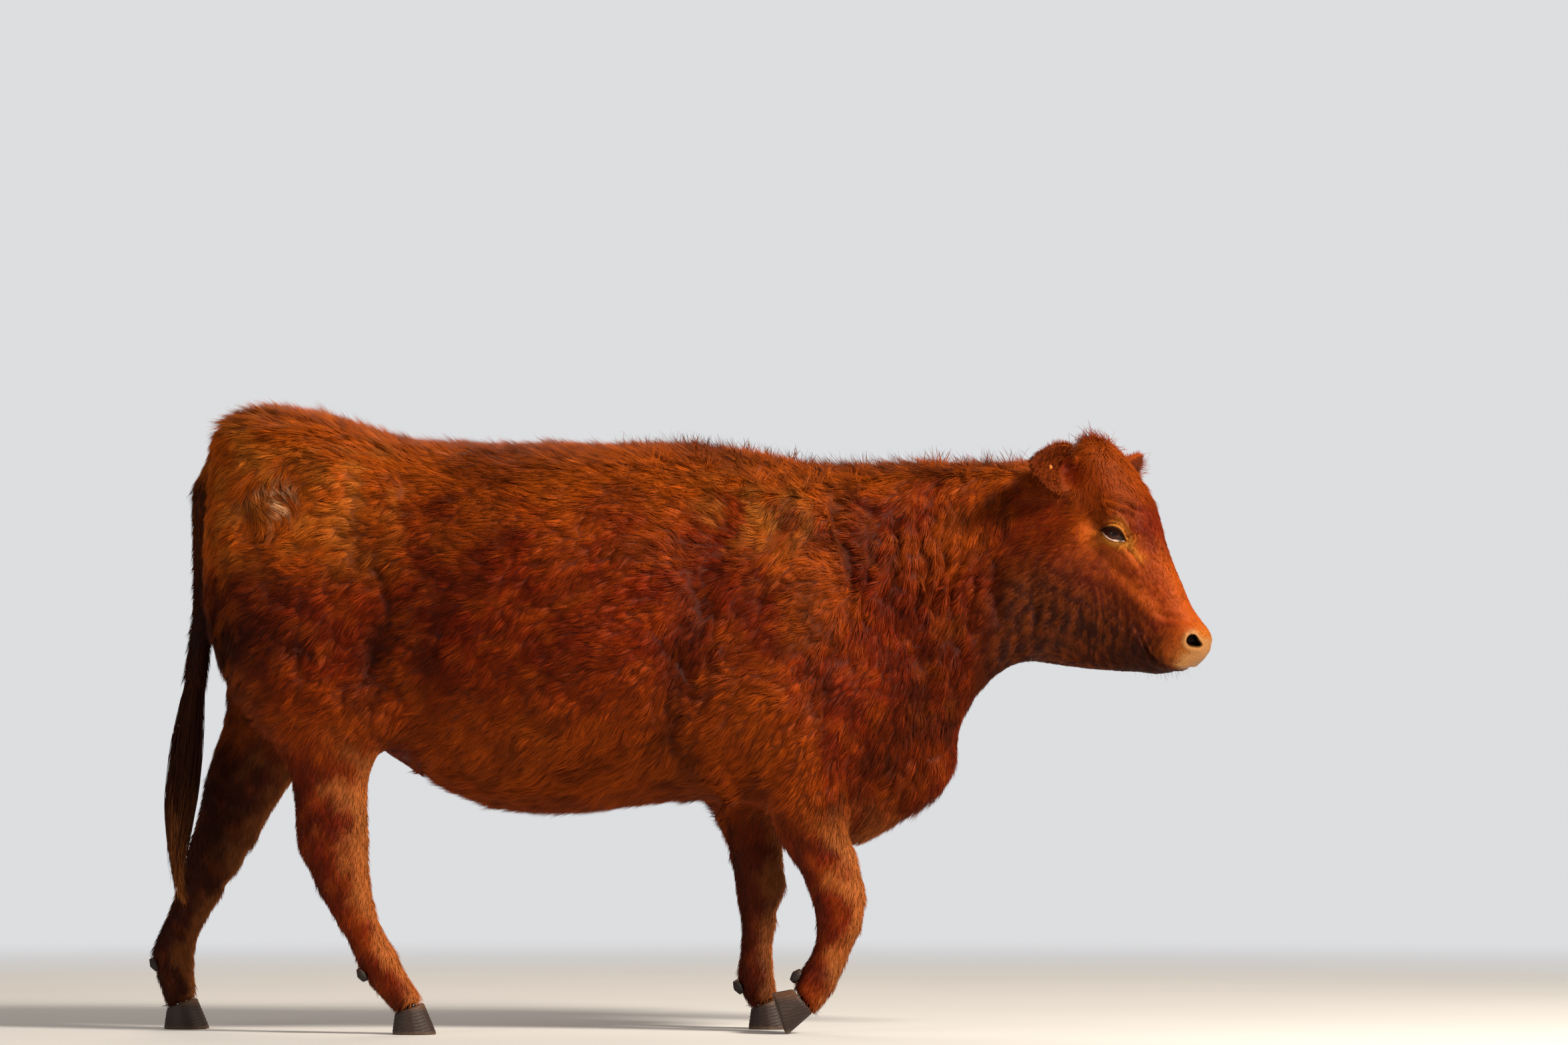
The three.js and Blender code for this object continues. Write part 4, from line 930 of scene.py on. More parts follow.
# %% Lengths and stand of the hair
def stature(points, normals):
    """Metres of length, and of stand off the hide, for the hair at each point."""
    x, z = points[:, 0], points[:, 2]
    part = regions(points)
    head = part["head"]
    h = to_head(points)
    top = smoothstep(0.70, 0.95, normals[:, 2]) * (z > 0.9)
    groin = smoothstep(0.12, 0.03, np.hypot(x + 0.565, z - 0.533))
    forehead = head * smoothstep(95, 30, h[:, 0]) * smoothstep(75, 45, np.abs(h[:, 1])) * (h[:, 2] > 100)
    length = 29 + 5 * waves(points, 0.15, 31)
    stand = 5.4 + 2.0 * waves(points, 0.055, 32)
    for longer, higher, share in (
        (37, 15 + 5 * waves(points, 0.03, 33), top),
        (38, 11, smoothstep(0.2, 0.8, -normals[:, 2])),
        (17, 1.2, groin),
        (19, 4.0, part["leg"]),
        (26, 6.0, head),
        (12, 1.7, head * smoothstep(-40, 30, h[:, 0] - 0.3 * h[:, 2])),
        (27, 4.0 + 2.5 * waves(points, 0.03, 34), forehead),
        (5.5, 0.7, head * smoothstep(15, 6, eye_gap(h)[0])),
        (6.5, 1.2, head * smoothstep(200, 280, h[:, 0])),
        (15, 3.5, part["ear"]),
        (26, 5, part["tail"]),
    ):
        length, stand = blend(length, longer, share), blend(stand, higher, share)
    return length * mm, stand * mm


# %% [markdown]
# ## An unwrap for the locks
# Every lock also carries its root's place on a flat unwrap of the body, so that a painter, or a baking
# tool, can find it. Unwrapping the fine hide would be slow, so a coarse copy of it is unwrapped, and
# each root looks up the nearest triangle of that copy.

# %% Unwrap a coarse copy of the hide
COARSE_GRID = 20 * mm


def coarse_unwrap(points, faces):
    """Points, triangles and flat places of a coarse copy of the hide."""
    body = make_mesh("coarse_hide", points, faces)
    coarse = applied(body, "REMESH", mode="VOXEL", voxel_size=COARSE_GRID)
    bpy.context.view_layer.objects.active = body
    body.select_set(True)
    bpy.ops.object.mode_set(mode="EDIT")
    bpy.ops.mesh.select_all(action="SELECT")
    bpy.ops.mesh.quads_convert_to_tris()
    bpy.ops.uv.smart_project(angle_limit=math.radians(72), island_margin=0.002)
    bpy.ops.object.mode_set(mode="OBJECT")
    flat = np.empty(len(coarse.loops) * 2, np.float32)
    coarse.uv_layers.active.data.foreach_get("uv", flat)
    corners = np.empty(len(coarse.loops), np.int32)
    coarse.loops.foreach_get("vertex_index", corners)
    places, uv = points_of(coarse), flat.reshape(-1, 3, 2)
    bpy.data.objects.remove(body)
    return places, corners.reshape(-1, 3), uv


hide_faces = triangles_of(hide_mesh)
coarse_points, coarse_faces, coarse_uv = coarse_unwrap(hide_points, hide_faces)
coarse_tree = BVHTree.FromPolygons(coarse_points.tolist(), coarse_faces.tolist())
print("coarse unwrap:", len(coarse_faces), "faces, from", coarse_uv.min(), "to", coarse_uv.max())


def place_on_unwrap(points):
    """The place on the unwrap of each point, through the nearest triangle of the coarse hide."""
    hits = [coarse_tree.find_nearest(p) for p in points.tolist()]
    index = np.array([hit[2] for hit in hits])
    near = np.array([hit[0][:] for hit in hits])
    a, b, c = (coarse_points[coarse_faces[index, k]] for k in range(3))
    whole = np.maximum(np.linalg.norm(np.cross(b - a, c - a), axis=1), 1e-12)
    share_b = np.linalg.norm(np.cross(near - a, c - a), axis=1) / whole
    share_c = np.linalg.norm(np.cross(b - a, near - a), axis=1) / whole
    ua, ub, uc = (coarse_uv[index, k] for k in range(3))
    uv = ua + (ub - ua) * share_b[:, None] + (uc - ua) * share_c[:, None]
    return np.clip(uv, 0.003, 0.997)


# %% [markdown]
# ## Locks
# A coat of millions of hairs can't be modelled, but hair clings together in locks, and a lock is what
# the eye reads. Each lock here is a slender three-sided horn: a root sunk in the hide, a tip that stands
# off it, and rings between them only where the lock has to curl. Its shading normals are tipped towards
# those of the hide, so that a sea of locks catches the light as one soft surface, as fur does.

# %% Sow roots
face_normals = unit(hide_normals[hide_faces].sum(1))


def corners_and_areas(points, faces):
    """The corners of triangles, and their areas."""
    corners = points[faces]
    across = np.cross(corners[:, 1] - corners[:, 0], corners[:, 2] - corners[:, 0])
    return corners, 0.5 * np.linalg.norm(across, axis=1)


def sow(density, seed):
    """Roots spread evenly by area, `density(points, normals)` to the square metre: places and normals."""
    dice = np.random.default_rng(seed)
    corners, area = corners_and_areas(hide_points, hide_faces)
    wanted = area * density(corners.mean(axis=1), face_normals)
    upto = np.cumsum(wanted)
    count = int(upto[-1])
    picks = np.searchsorted(upto, (np.arange(count) + dice.random(count)) * upto[-1] / count)
    picks = np.minimum(picks, len(hide_faces) - 1)
    s, t = dice.random(count), dice.random(count)
    s, t = np.where(s + t > 1, 1 - s, s), np.where(s + t > 1, 1 - t, t)
    weights = np.stack([1 - s - t, s, t], 1)[:, :, None]
    roots = (hide_points[hide_faces[picks]] * weights).sum(1)
    return roots, unit((hide_normals[hide_faces[picks]] * weights).sum(1))


# %% [markdown]
# Locks don't stand alone either: neighbours are drawn together into tufts, which share a turn, a tone
# and a length, and whose tips lean together. The middles of the tufts are sown too, and each lock joins the
# nearest one.

# %% Gather locks into tufts
def tufts(roots, density, seed):
    """For each root: the way to its tuft's middle, and three numbers that the tuft's locks share."""
    middles, _ = sow(density, seed)
    tree = KDTree(len(middles))
    for k, middle in enumerate(middles):
        tree.insert(middle, k)
    tree.balance()
    index = np.array([tree.find(root)[1] for root in roots])
    shared = np.random.default_rng(seed + 1).normal(size=(len(middles), 3))
    return middles[index] - roots, shared[index]


# %% Grow locks
def grow(roots, normals, way, length, stand, width, rings, seed, colour, **habit):
    """Arrays of one batch of locks; every measure is one value, or one for each root.

    Habits: bend is a share of the length, dark is the tone at the root, as painted shade deep in the coat,
    tip is the colour of the ends, uneven is the spread of tones, gather draws the ends by a vector for each
    root, round turns the shading away from it, follow(f) moves the locks where they are f of the way to
    their ends, and home is the place on the unwrap.
    """
    dice = np.random.default_rng(seed)
    count = len(roots)
    length, stand, width = (np.broadcast_to(value, count) for value in (length, stand, width))
    aside = unit(np.cross(normals, way))
    sway = dice.normal(0, 1, count) * habit.get("bend", 0.10) * length
    home = habit["home"] if "home" in habit else place_on_unwrap(roots)
    tone = dice.normal(1, habit.get("uneven", 0.11), (count, 1)).clip(0.6, 1.5)
    dark, tip, gather = habit.get("dark", 0.6), habit.get("tip"), habit.get("gather")
    lean = 0 if gather is None else gather * habit.get("round", 0)
    batch = {"points": [], "tints": [], "spots": [], "normals": []}
    for ring in range(rings + 1):
        f = ring / rings
        rise = stand * (1 - (1 - min(f * 1.25, 1)) ** 2) if ring else np.full(count, -1.5 * mm)
        middle = roots + way * (length * f)[:, None] + normals * rise[:, None]
        middle = middle + aside * (sway * f * f)[:, None]
        if gather is not None:
            middle = middle + gather * f**1.5
        if "follow" in habit:
            middle = middle + habit["follow"](f)
        # Painted shade: each lock is darker at its root, by dark, rising to a tenth over its colour at the
        # tip.
        tint = colour * tone * (dark + (1.1 - dark) * f)
        if tip is not None:
            tint = blend(tint, tip * tone, np.full(count, max(f - 0.3, 0) / 0.7))
        half = 0.5 * width * (1.0 - 0.75 * max(f - 0.3, 0))
        last = ring == rings
        sides = [normals * 0] if last else [aside, normals * 0.9, -aside]
        for k, side in enumerate(sides):
            batch["points"].append(middle + side * half[:, None])
            batch["tints"].append(tint)
            batch["normals"].append(unit(normals * 0.75 + side * 0.5 + way * (0.1 + 0.1 * f) + lean))
            batch["spots"].append(home + [0.0015 * (k - 1) * (not last), 0.0015 * (2 * f - 1)])
    faces = []
    for ring in range(rings):
        for k in range(3):
            a, b = 3 * ring + k, 3 * ring + (k + 1) % 3
            faces += [[a, b, 3 * rings]] if ring == rings - 1 else [[a, b, a + 3], [b, b + 3, a + 3]]
    batch = {key: np.stack(value, 1) for key, value in batch.items()}
    batch["faces"] = np.array(faces)[None] + (3 * rings + 1) * np.arange(count)[:, None, None]
    return batch


def join_locks(name, batches):
    """One mesh of several batches of locks, with its colours, normals and unwrap."""
    start, parts = 0, {key: [] for key in ("points", "tints", "spots", "normals", "faces")}
    for batch in batches:
        for key in parts:
            parts[key].append(batch[key].reshape(-1, batch[key].shape[-1]) + (start if key == "faces" else 0))
        start += len(parts["points"][-1])
    points, tints, spots, normals, faces = (np.concatenate(part) for part in parts.values())
    piece = make_mesh(name, points, faces)
    paint(piece.data, np.clip(tints, 0.001, 0.9))
    layer = piece.data.uv_layers.new(name="OFBake")
    layer.data.foreach_set("uv", spots[faces.ravel()].astype(np.float32).ravel())
    piece.data.normals_split_custom_set_from_vertices(normals)
    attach(piece, "root")
    print(name, "triangles:", len(faces), "unwrap spans", np.ptp(spots, axis=0).round(2))
    return piece


# %% [markdown]
# ## The coat of the body
# The barrel, neck and thighs carry the long coat. It is dealt out like cards into six pieces, each of
# them all over the body, so that no piece is too heavy and all of them share one unwrap.

# %% Coat of the body
BODY_LOCKS = 104000


def body_share(points, normals):
    """Share from 0 to 1 of the long coat: all but the head, the legs and the tail."""
    part = regions(points)
    return (1 - part["head"]) * (1 - part["leg"]) * (1 - part["tail"])


def lay_coat(roots, normals, spacing, seed, rings, widths, pull, pieces, **habit):
    """Batches of the coat that follows the lie, gathered into tufts `spacing` millimetres apart."""
    dice = np.random.default_rng(seed)
    gather, shared = tufts(roots, lambda p, n: np.full(len(p), 1e6 / spacing**2), seed + 1)
    way = turned(lie_of(roots, normals), normals, 0.16 * shared[:, 0])
    length, stand = stature(roots, normals)
    length = length * (1 + 0.14 * shared[:, 1]) * dice.uniform(0.70, 1.25, len(roots))
    stand = stand * dice.uniform(0.65, 1.35, len(roots)) * (1 + 0.12 * shared[:, 1])
    colour = markings(roots, normals) * (1 + 0.15 * shared[:, 2:]).clip(0.6, 1.5)
    width = dice.uniform(*widths, len(roots)) * mm
    batches = []
    for k in range(pieces):
        pick = slice(k, None, pieces)
        batches.append(
            grow(
                roots[pick], normals[pick], way[pick], length[pick], stand[pick], width[pick], rings,
                seed + 10 + k, colour[pick], gather=gather[pick] * pull, **habit,
            )
        )
    return batches


coat = []
roots, normals = sow(lambda p, n: BODY_LOCKS * body_share(p, n), 41)
for k, batch in enumerate(lay_coat(roots, normals, 15, 42, 1, (1.3, 2.5), 0.45, 6, dark=0.55, round=-90)):
    coat.append(join_locks(f"coat_{k + 1}", [batch]))

# %% [markdown]
# ## Legs, tail and face
# Short hair lies nearly flat. On the face its locks are a millimetre or two wide and grow shorter towards
# the nose, and none grow on the edges of the lids or on the bare pad.

# %% Coat of the legs, the tail and the face
LEG_LOCKS, FACE_LOCKS = 46000, 150000


def short_density(points, normals):
    """Locks to the square metre where the coat is short: legs, head, ears and tail."""
    part = regions(points)
    h = to_head(points)
    near = (points[:, 0] > HEAD_FROM) & (part["head"] > 0)
    density = np.maximum(LEG_LOCKS * np.maximum(part["leg"], part["tail"]), FACE_LOCKS * part["head"])
    covered = smoothstep(3.5, 6.0, eye_gap(h)[0])
    covered *= np.where(near, 1 - bare_muzzle(h), 1)
    return density * covered * np.where(near & (h[:, 0] > 300), smoothstep(0, 6, nostril_gap(h)), 1)


roots, normals = sow(short_density, 61)
on_head = regions(roots)["head"] > 0.5
legs = lay_coat(roots[~on_head], normals[~on_head], 9, 62, 1, (1.7, 2.8), 0.35, 1, dark=0.7, round=-90)
coat.append(join_locks("leg_coat", legs))
face_locks = lay_coat(roots[on_head], normals[on_head], 7, 82, 1, (1.1, 2.0), 0.35, 2, dark=0.75, uneven=0.14)

# %% [markdown]
# ## Long hair of the head and the back
# Some hair stands out from the coat: a ruff along the crest of the neck, a tuft on the poll, fringes on
# the ears, lashes on the upper lids and whiskers on the lips. Each is a batch of its own, with more
# rings so that it can curl, and joins a larger piece.

# %% Ruff and poll tuft
def pick_batch(density, seed, way, length, stand, width, rings, clump=None, **habit):
    """A batch sown by `density`; `way(points, normals)` is its direction, ranges are in millimetres.

    clump is the spacing of its wisps and the share by which their ends draw together.
    """
    roots, normals = sow(density, seed)
    dice = np.random.default_rng(seed + 1)
    draw = [dice.uniform(*span, len(roots)) * mm for span in (length, stand, width)]
    if clump:
        middles, _ = tufts(roots, lambda p, n: density(p, n) * 0 + 1e6 / clump[0] ** 2, seed + 3)
        habit["gather"] = middles * clump[1]
    colour = markings(roots, normals)
    return grow(roots, normals, unit(way(roots, normals)), *draw, rings, seed + 2, colour, **habit)


def crest(points, normals):
    """Share of the crest of the neck and withers."""
    x, y = points[:, 0], points[:, 1]
    along = smoothstep(-0.15, 0.08, x) * smoothstep(0.74, 0.62, x)
    clumps = smoothstep(-0.3, 0.7, waves(points, 0.045, 91))
    return along * smoothstep(0.55, 0.85, normals[:, 2]) * clumps * (points[:, 2] > 1.0)


def ruff_way(points, normals):
    lean = waves(points, 0.06, 92)[:, None]
    return lie_of(points, normals) * 0.5 + normals * 1.1 + np.array([0.6, 0.3, 0]) * lean


WISP_TIP = from_head([-96, 0, 252])


def poll(points, normals):
    """Share of the poll, between the ears."""
    ahead, left, brow = to_head(points).T
    round_poll = np.exp(-(((ahead + 84) / 32) ** 2) - (left / 34) ** 2)
    return round_poll * (brow > 120) * (points[:, 0] > HEAD_FROM)


def poll_way(points, normals):
    wander = waves(points, 0.03, 95)[:, None] * head_ahead + waves(points, 0.03, 96)[:, None] * head_left
    toward = unit(WISP_TIP - points)
    upright = np.sum(toward * normals, axis=1)[:, None]
    return toward * 0.6 - 0.45 * normals * upright + lie_of(points, normals) * 0.45 + 0.3 * wander


ruff = pick_batch(
    lambda p, n: 42000 * crest(p, n), 101, ruff_way, (16, 46), (0, 4), (1.0, 1.9), 3,
    clump=(26, 0.6), bend=0.16, dark=0.8, tip=DARK_BROWN,
)
poll_tuft = pick_batch(
    lambda p, n: 80000 * poll(p, n), 111, poll_way, (12, 34), (2, 8), (0.8, 1.4), 4,
    clump=(10, 0.7), bend=0.3, dark=0.7, tip=RED,
)
print("ruff locks:", len(ruff["points"]), "poll locks:", len(poll_tuft["points"]))

# %% [markdown]
# The rim of an ear carries a fringe that stands out all round it, and the cup is full of loose wiry
# hairs that keep flies out.

# %% Ears
def rim_of_ear(points, normals):
    """Share of the rim of an ear, away from its root."""
    sideways, facing = (np.abs(np.sum(normals * ear_axis(points, k), axis=1)) for k in (ACROSS, OPEN))
    far = np.abs(to_head(points)[:, 1]) > 96
    rim = np.maximum(smoothstep(0.4, 0.8, sideways), 0.4)
    return far * regions(points)["ear"] * smoothstep(0.6, 0.2, facing) * rim


def rim_way(points, normals):
    out = ear_axis(points, OUT)
    return normals * 0.85 + out * 0.75 + 0.25 * waves(points, 0.02, 93)[:, None] * head_brow


def cup_of_ear(points, normals):
    """Share of the hollow of an ear, clear of the stud."""
    from_stud = np.linalg.norm(points - middle_of("ear_stud"), axis=1)
    return ear_inside(points, normals) * smoothstep(0.010, 0.020, from_stud)


def cup_way(points, normals):
    out = ear_axis(points, OUT)
    return out * 0.9 + head_brow * (0.6 * waves(points, 0.03, 94))[:, None] + 0.12 * normals


fringe = pick_batch(
    lambda p, n: 240000 * rim_of_ear(p, n), 121, rim_way, (6, 18), (0, 2), (0.5, 1.0), 2,
    clump=(6, 0.6), bend=0.10, dark=0.95, tip=RED,
)

cup_hair = pick_batch(
    lambda p, n: 26000 * cup_of_ear(p, n), 131, cup_way, (18, 38), (2, 8), (0.5, 0.9), 4,
    clump=(12, 0.8), bend=0.25, dark=1.0, tip=ORANGE * 0.7,
)
print("fringe locks:", len(fringe["points"]), "hairs in the cups:", len(cup_hair["points"]))

# %% Lashes and whiskers
LASHES = 110


def on_ball_of_eye(side, x, y, radius):
    """Places on the ball of an eye, from the chart of its almond, and the ways out, above and along."""
    out, along, above = eye_axes(side)
    far = np.maximum(np.hypot(x, y), 1e-6)
    angle = far / EYEBALL
    aside = x[:, None] * along + y[:, None] * above
    away = np.cos(angle)[:, None] * out + (np.sin(angle) / far)[:, None] * aside
    places = from_head(to_head(eye_centres[side]) + away * radius)
    return places, away @ head_axes, above @ head_axes, along @ head_axes


def lashes(side, seed):
    """Lashes along the upper lid of one eye."""
    dice = np.random.default_rng(seed)
    t = dice.uniform(-0.96, 0.9, LASHES)
    roots, away, above, along = on_ball_of_eye(side, t * EYE_HALF, upper_lid(t) + 0.8, EYEBALL + LID + 0.6)
    way = unit(away * 0.8 + along * (0.5 * t - 0.1)[:, None] - above * dice.uniform(0.3, 0.8, (LASHES, 1)))
    length, width = dice.uniform(9, 16, LASHES) * mm, dice.uniform(0.6, 0.9, LASHES) * mm
    colour = np.tile(LID_DARK, (LASHES, 1))
    return grow(roots, above + 0 * roots, way, length, 1.5 * mm, width, 3, seed, colour, bend=0.1, dark=0.9)


def lips(points, normals):
    """Share of the lips, clear of the nostrils."""
    h = to_head(points)
    soft = smoothstep(230, 300, h[:, 0]) * smoothstep(0, -30, h[:, 2]) * smoothstep(0.0, 6, nostril_gap(h))
    return soft * (points[:, 0] > HEAD_FROM)


whiskers = pick_batch(
    lambda p, n: 3200 * lips(p, n), 141, lambda p, n: n * 0.9 + 0.4 * head_ahead - 0.3 * head_brow,
    (8, 24), (0, 3), (0.4, 0.6), 3, bend=0.15, dark=0.8, tip=KNEE_TAN,
)
head_hair = [poll_tuft, fringe, cup_hair, whiskers, lashes(-1, 151), lashes(1, 152)]
coat.append(join_locks("face_coat_1", [face_locks[0]] + head_hair[:3]))
coat.append(join_locks("face_coat_2", [face_locks[1], ruff] + head_hair[3:]))

# %% [markdown]
# ## The switch of the tail
# The tail ends in a switch of hair some forty centimetres long, which hangs past the hocks. It replaces
# the carved tuft: roots all over that tuft send down long locks, and each is drawn in towards the
# middle line, so that the switch keeps the tuft's outline and ends in a point.

# %% Tail switch
SWITCH_LOCKS = 3400
switch_low, switch_high = (np.array(v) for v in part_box("tail_switch"))
switch_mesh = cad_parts["tail_switch"].data
switch_points, switch_faces = points_of(switch_mesh), triangles_of(switch_mesh)
tail_points = np.concatenate([switch_points, points_of(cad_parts["tail"].data)])
low_tail = tail_points[tail_points[:, 2] < switch_high[2] + 0.16]
tail_curves = [np.polyfit(low_tail[:, 2], low_tail[:, k], 4) for k in range(2)]


def middle_line(z):
    """The middle of the carved tail at each height."""
    return np.stack([np.polyval(curve, z) for curve in tail_curves] + [z], 1)


def share_up(z):
    """How far up the switch a height is, from 0 at its tip to 1 at its top."""
    return (z - switch_low[2]) / (switch_high[2] - switch_low[2])


def fullness(z):
    """How full the switch is at a height, from 0 to 1."""
    high = share_up(z)
    return blend(0.30, 1.0, smoothstep(1.35, 0.65, high)) * blend(0.12, 1.0, smoothstep(-0.05, 0.55, high))


def tail_switch():
    dice = np.random.default_rng(161)
    corners, area = corners_and_areas(switch_points, switch_faces)
    picks = dice.choice(len(area), SWITCH_LOCKS, p=area / area.sum())
    weights = dice.dirichlet([1, 1, 1], SWITCH_LOCKS)[:, :, None]
    roots = (corners[picks] * weights).sum(1)
    high = share_up(roots[:, 2])
    from_middle = roots - middle_line(roots[:, 2])
    outward = unit(from_middle * [1, 1, 0] + [1e-6, 0, 0])
    away = from_middle * dice.uniform(0.25, 1.1, (SWITCH_LOCKS, 1))
    top = roots[:, 2] + dice.uniform(0, 0.14, SWITCH_LOCKS) * smoothstep(0.6, 0.9, high)
    length = dice.uniform(0.10, 0.24, SWITCH_LOCKS)
    to_tip = top - switch_low[2] + dice.uniform(-0.07, 0.02, SWITCH_LOCKS)
    length = np.maximum(np.minimum(length, to_tip), 0.03)

    def hang(f):
        z = top - length * f
        swing = (middle_line(z) - middle_line(top)) * [1, 1, 0]
        return swing + away * (fullness(z) - fullness(top))[:, None]

    roots = middle_line(top) + away * fullness(top)[:, None]
    turn = np.arctan2(outward[:, 1], outward[:, 0]) / (2 * math.pi) + 0.5
    home = np.stack([0.03 + 0.94 * turn, 0.03 + 0.94 * high], 1)
    colour = blend(DARK_BROWN, KNEE_TAN, dice.uniform(0.0, 0.9, SWITCH_LOCKS) * smoothstep(0.7, 0.15, high))
    down = np.tile([0.0, 0.0, -1.0], (SWITCH_LOCKS, 1))
    width = dice.uniform(1.2, 2.4, SWITCH_LOCKS) * mm
    return grow(
        roots, outward, down, length, 2 * mm, width, 5, 162, colour,
        bend=0.05, dark=0.8, home=home, follow=hang,
    )


switch = join_locks("switch_of_tail", [tail_switch()])
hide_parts("tail_switch")
coat.append(switch)

# %% [markdown]
# ## Claws and dewclaws
# A hoof is a shell of horn that grows down from the coronet in fine rings, a few millimetres for each
# month. Each carved claw is wrapped in a fine grid, softened so that its facets go, and given rings by
# moving its wall in and out. The sole stays flat on the floor.

# %% Horn
def horn(node, grid, ring_gap, ring_depth, times):
    """A smooth claw of horn over one carved node, with growth rings `ring_gap` millimetres apart."""
    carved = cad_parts[node].data
    piece = make_mesh(node.replace("hoof", "claw") + "_horn", points_of(carved), triangles_of(carved))
    mesh = applied(piece, "REMESH", mode="VOXEL", voxel_size=grid * mm)
    mesh.polygons.foreach_set("use_smooth", np.full(len(mesh.polygons), True))
    points = relax(points_of(mesh), edges_of(mesh), 0.35, times)
    floor_level = points_of(carved)[:, 2].min()
    set_points(mesh, points)
    normals = normals_of(mesh)
    wall = smoothstep(0.75, 0.45, np.abs(normals[:, 2])) * smoothstep(2, 8, (points[:, 2] - floor_level) / mm)
    height = points[:, 2] / mm - 0.25 * points[:, 0] / mm + 1.2 * waves(points, 0.03, 171)
    ring = np.sin(height * 2 * math.pi / ring_gap)
    points = points + normals * (ring * ring_depth * wall)[:, None] * mm
    points[:, 2] = np.maximum(points[:, 2], floor_level)
    set_points(mesh, points)
    up = (points[:, 2] - points[:, 2].min()) / np.ptp(points[:, 2])
    tint = blend(to_linear("#30211a"), to_linear("#5e3f2a"), smoothstep(0.7, 1.0, up))
    tint = blend(tint, to_linear("#7a6048"), 0.5 * smoothstep(0.14, 0.0, up))
    tint = tint * (1 if node.startswith("hoof") else 0.5)
    paint(mesh, tint * (1 + 0.18 * ring * wall)[:, None], "horn colour")
    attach(piece, "root")
    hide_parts(node)
    return piece


hooves = [horn(node, 2.2, 7.0, 0.45, 14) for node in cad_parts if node.startswith("hoof")]
dewclaws = [horn(node, 1.6, 4.0, 0.25, 8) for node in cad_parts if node.startswith("dewclaw")]
print("claws:", len(hooves), "dewclaws:", len(dewclaws), "points each:", len(hooves[0].data.vertices))

# %% [markdown]
# ## Eyes
# The visible part of a cow's eye is almost all iris, dark brown, with a pupil that lies level like a
# letter box. The white shows only as a thin rim below. The ball bulges a little at the cornea, and a
# film of tears makes it the glossiest thing on the animal.

# %% Eyeballs
def eyeball(side, node):
    """A glossy eye in place of one carved ball, with its iris, pupil and white painted on."""
    points, faces = ball(eye_centres[side], EYEBALL * mm, 5)
    x, y, _, away = eye_chart(to_head(points), side)
    front = away[:, 1] * side > 0.2
    bulge = 1.5 * np.maximum(1 - (x * x + y * y) / 15.0**2, 0) * front
    points = points + (away @ head_axes) * bulge[:, None] * mm
    eye = make_mesh(node + "_ball", points, faces)
    iris = np.hypot(x / 1.3, y - 2.0) / 12.3
    pupil = np.hypot(x / 11.5, (y - 1.5) / 5.6)
    angle = np.arctan2(y, x)
    streaks = 0.5 + 0.5 * np.sin(angle * 34 + 2.5 * np.sin(angle * 9))
    rim = smoothstep(-7.6, -9.0, y) * smoothstep(24, 17, np.abs(x - 2))
    white = blend(to_linear("#2a120b"), to_linear("#e8c6b6"), rim)
    brown = blend(to_linear("#52200e"), to_linear("#2a0f07"), streaks * 0.7)
    colour = layered(brown, [
        (to_linear("#140806"), smoothstep(0.8, 0.97, iris)),
        (white, smoothstep(0.97, 1.04, iris)),
        (to_linear("#1a0806"), smoothstep(1.05, 0.9, pupil)),
    ])
    paint(eye.data, colour, "eye colour")
    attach(eye, "root")
    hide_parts(node)
    return eye


eyes = [eyeball(-1, "eye_right"), eyeball(1, "eye_left")]

# %% [markdown]
# ## Materials
# Small functions add what the materials share: a node with its settings and links, noise on a piece's own
# coordinates, a value spread over another range, a painted colour times a tone, and relief from a height.
# A value that is the same all over stays on the shader itself.

# %% Node tools
def add(material, kind, settings=(), links=()):
    """Adds one node, sets its values by name and links named inputs to other nodes' outputs."""
    node = material.node_tree.nodes.new(kind)
    for name, value in dict(settings).items():
        if name in node.inputs:
            node.inputs[name].default_value = value
        else:
            setattr(node, name, value)
    for name, source in dict(links).items():
        link(material, source, node.inputs[name])
    return node


def link(material, source, target):
    material.node_tree.links.new(source, target)


def new_material(name, settings):
    """A material and its shader, whose values are set by name."""
    material = bpy.data.materials.new(name)
    material.use_nodes = True
    shader = material.node_tree.nodes["Principled BSDF"]
    for key, value in settings.items():
        shader.inputs[key].default_value = value
    return material, shader


def mixed(material, factor, first, second, mode="MIX"):
    """A colour mix of two colours or outputs."""
    node = add(material, "ShaderNodeMix", {"data_type": "RGBA", "blend_type": mode})
    for socket, value in zip((node.inputs[0], node.inputs[6], node.inputs[7]), (factor, first, second)):
        if hasattr(value, "links"):
            link(material, value, socket)
        else:
            socket.default_value = value
    return node.outputs[2]


def own_place(material):
    return add(material, "ShaderNodeTexCoord").outputs["Object"]


def noise(material, place, scale, detail=2.0):
    """Smooth noise with `scale` grains to the metre."""
    node = add(material, "ShaderNodeTexNoise", {"Scale": scale, "Detail": detail}, {"Vector": place})
    return node.outputs["Fac"]


def spread(material, value, low, high, start=0.0, end=1.0):
    """A value that goes from `start` to `end`, spread from `low` to `high`."""
    ends = {"From Min": start, "From Max": end, "To Min": low, "To Max": high}
    return add(material, "ShaderNodeMapRange", ends, {"Value": value}).outputs["Result"]


def tinted(material, shader, layer, tone):
    """Gives the shader a painted colour times a tone."""
    tint = add(material, "ShaderNodeVertexColor", {"layer_name": layer})
    link(material, mixed(material, 1.0, tint.outputs["Color"], tone, "MULTIPLY"), shader.inputs["Base Color"])


def embossed(material, shader, height, strength, depth):
    """Gives the shader relief from a height."""
    bump = add(material, "ShaderNodeBump", {"Strength": strength, "Distance": depth}, {"Height": height})
    link(material, bump.outputs["Normal"], shader.inputs["Normal"])


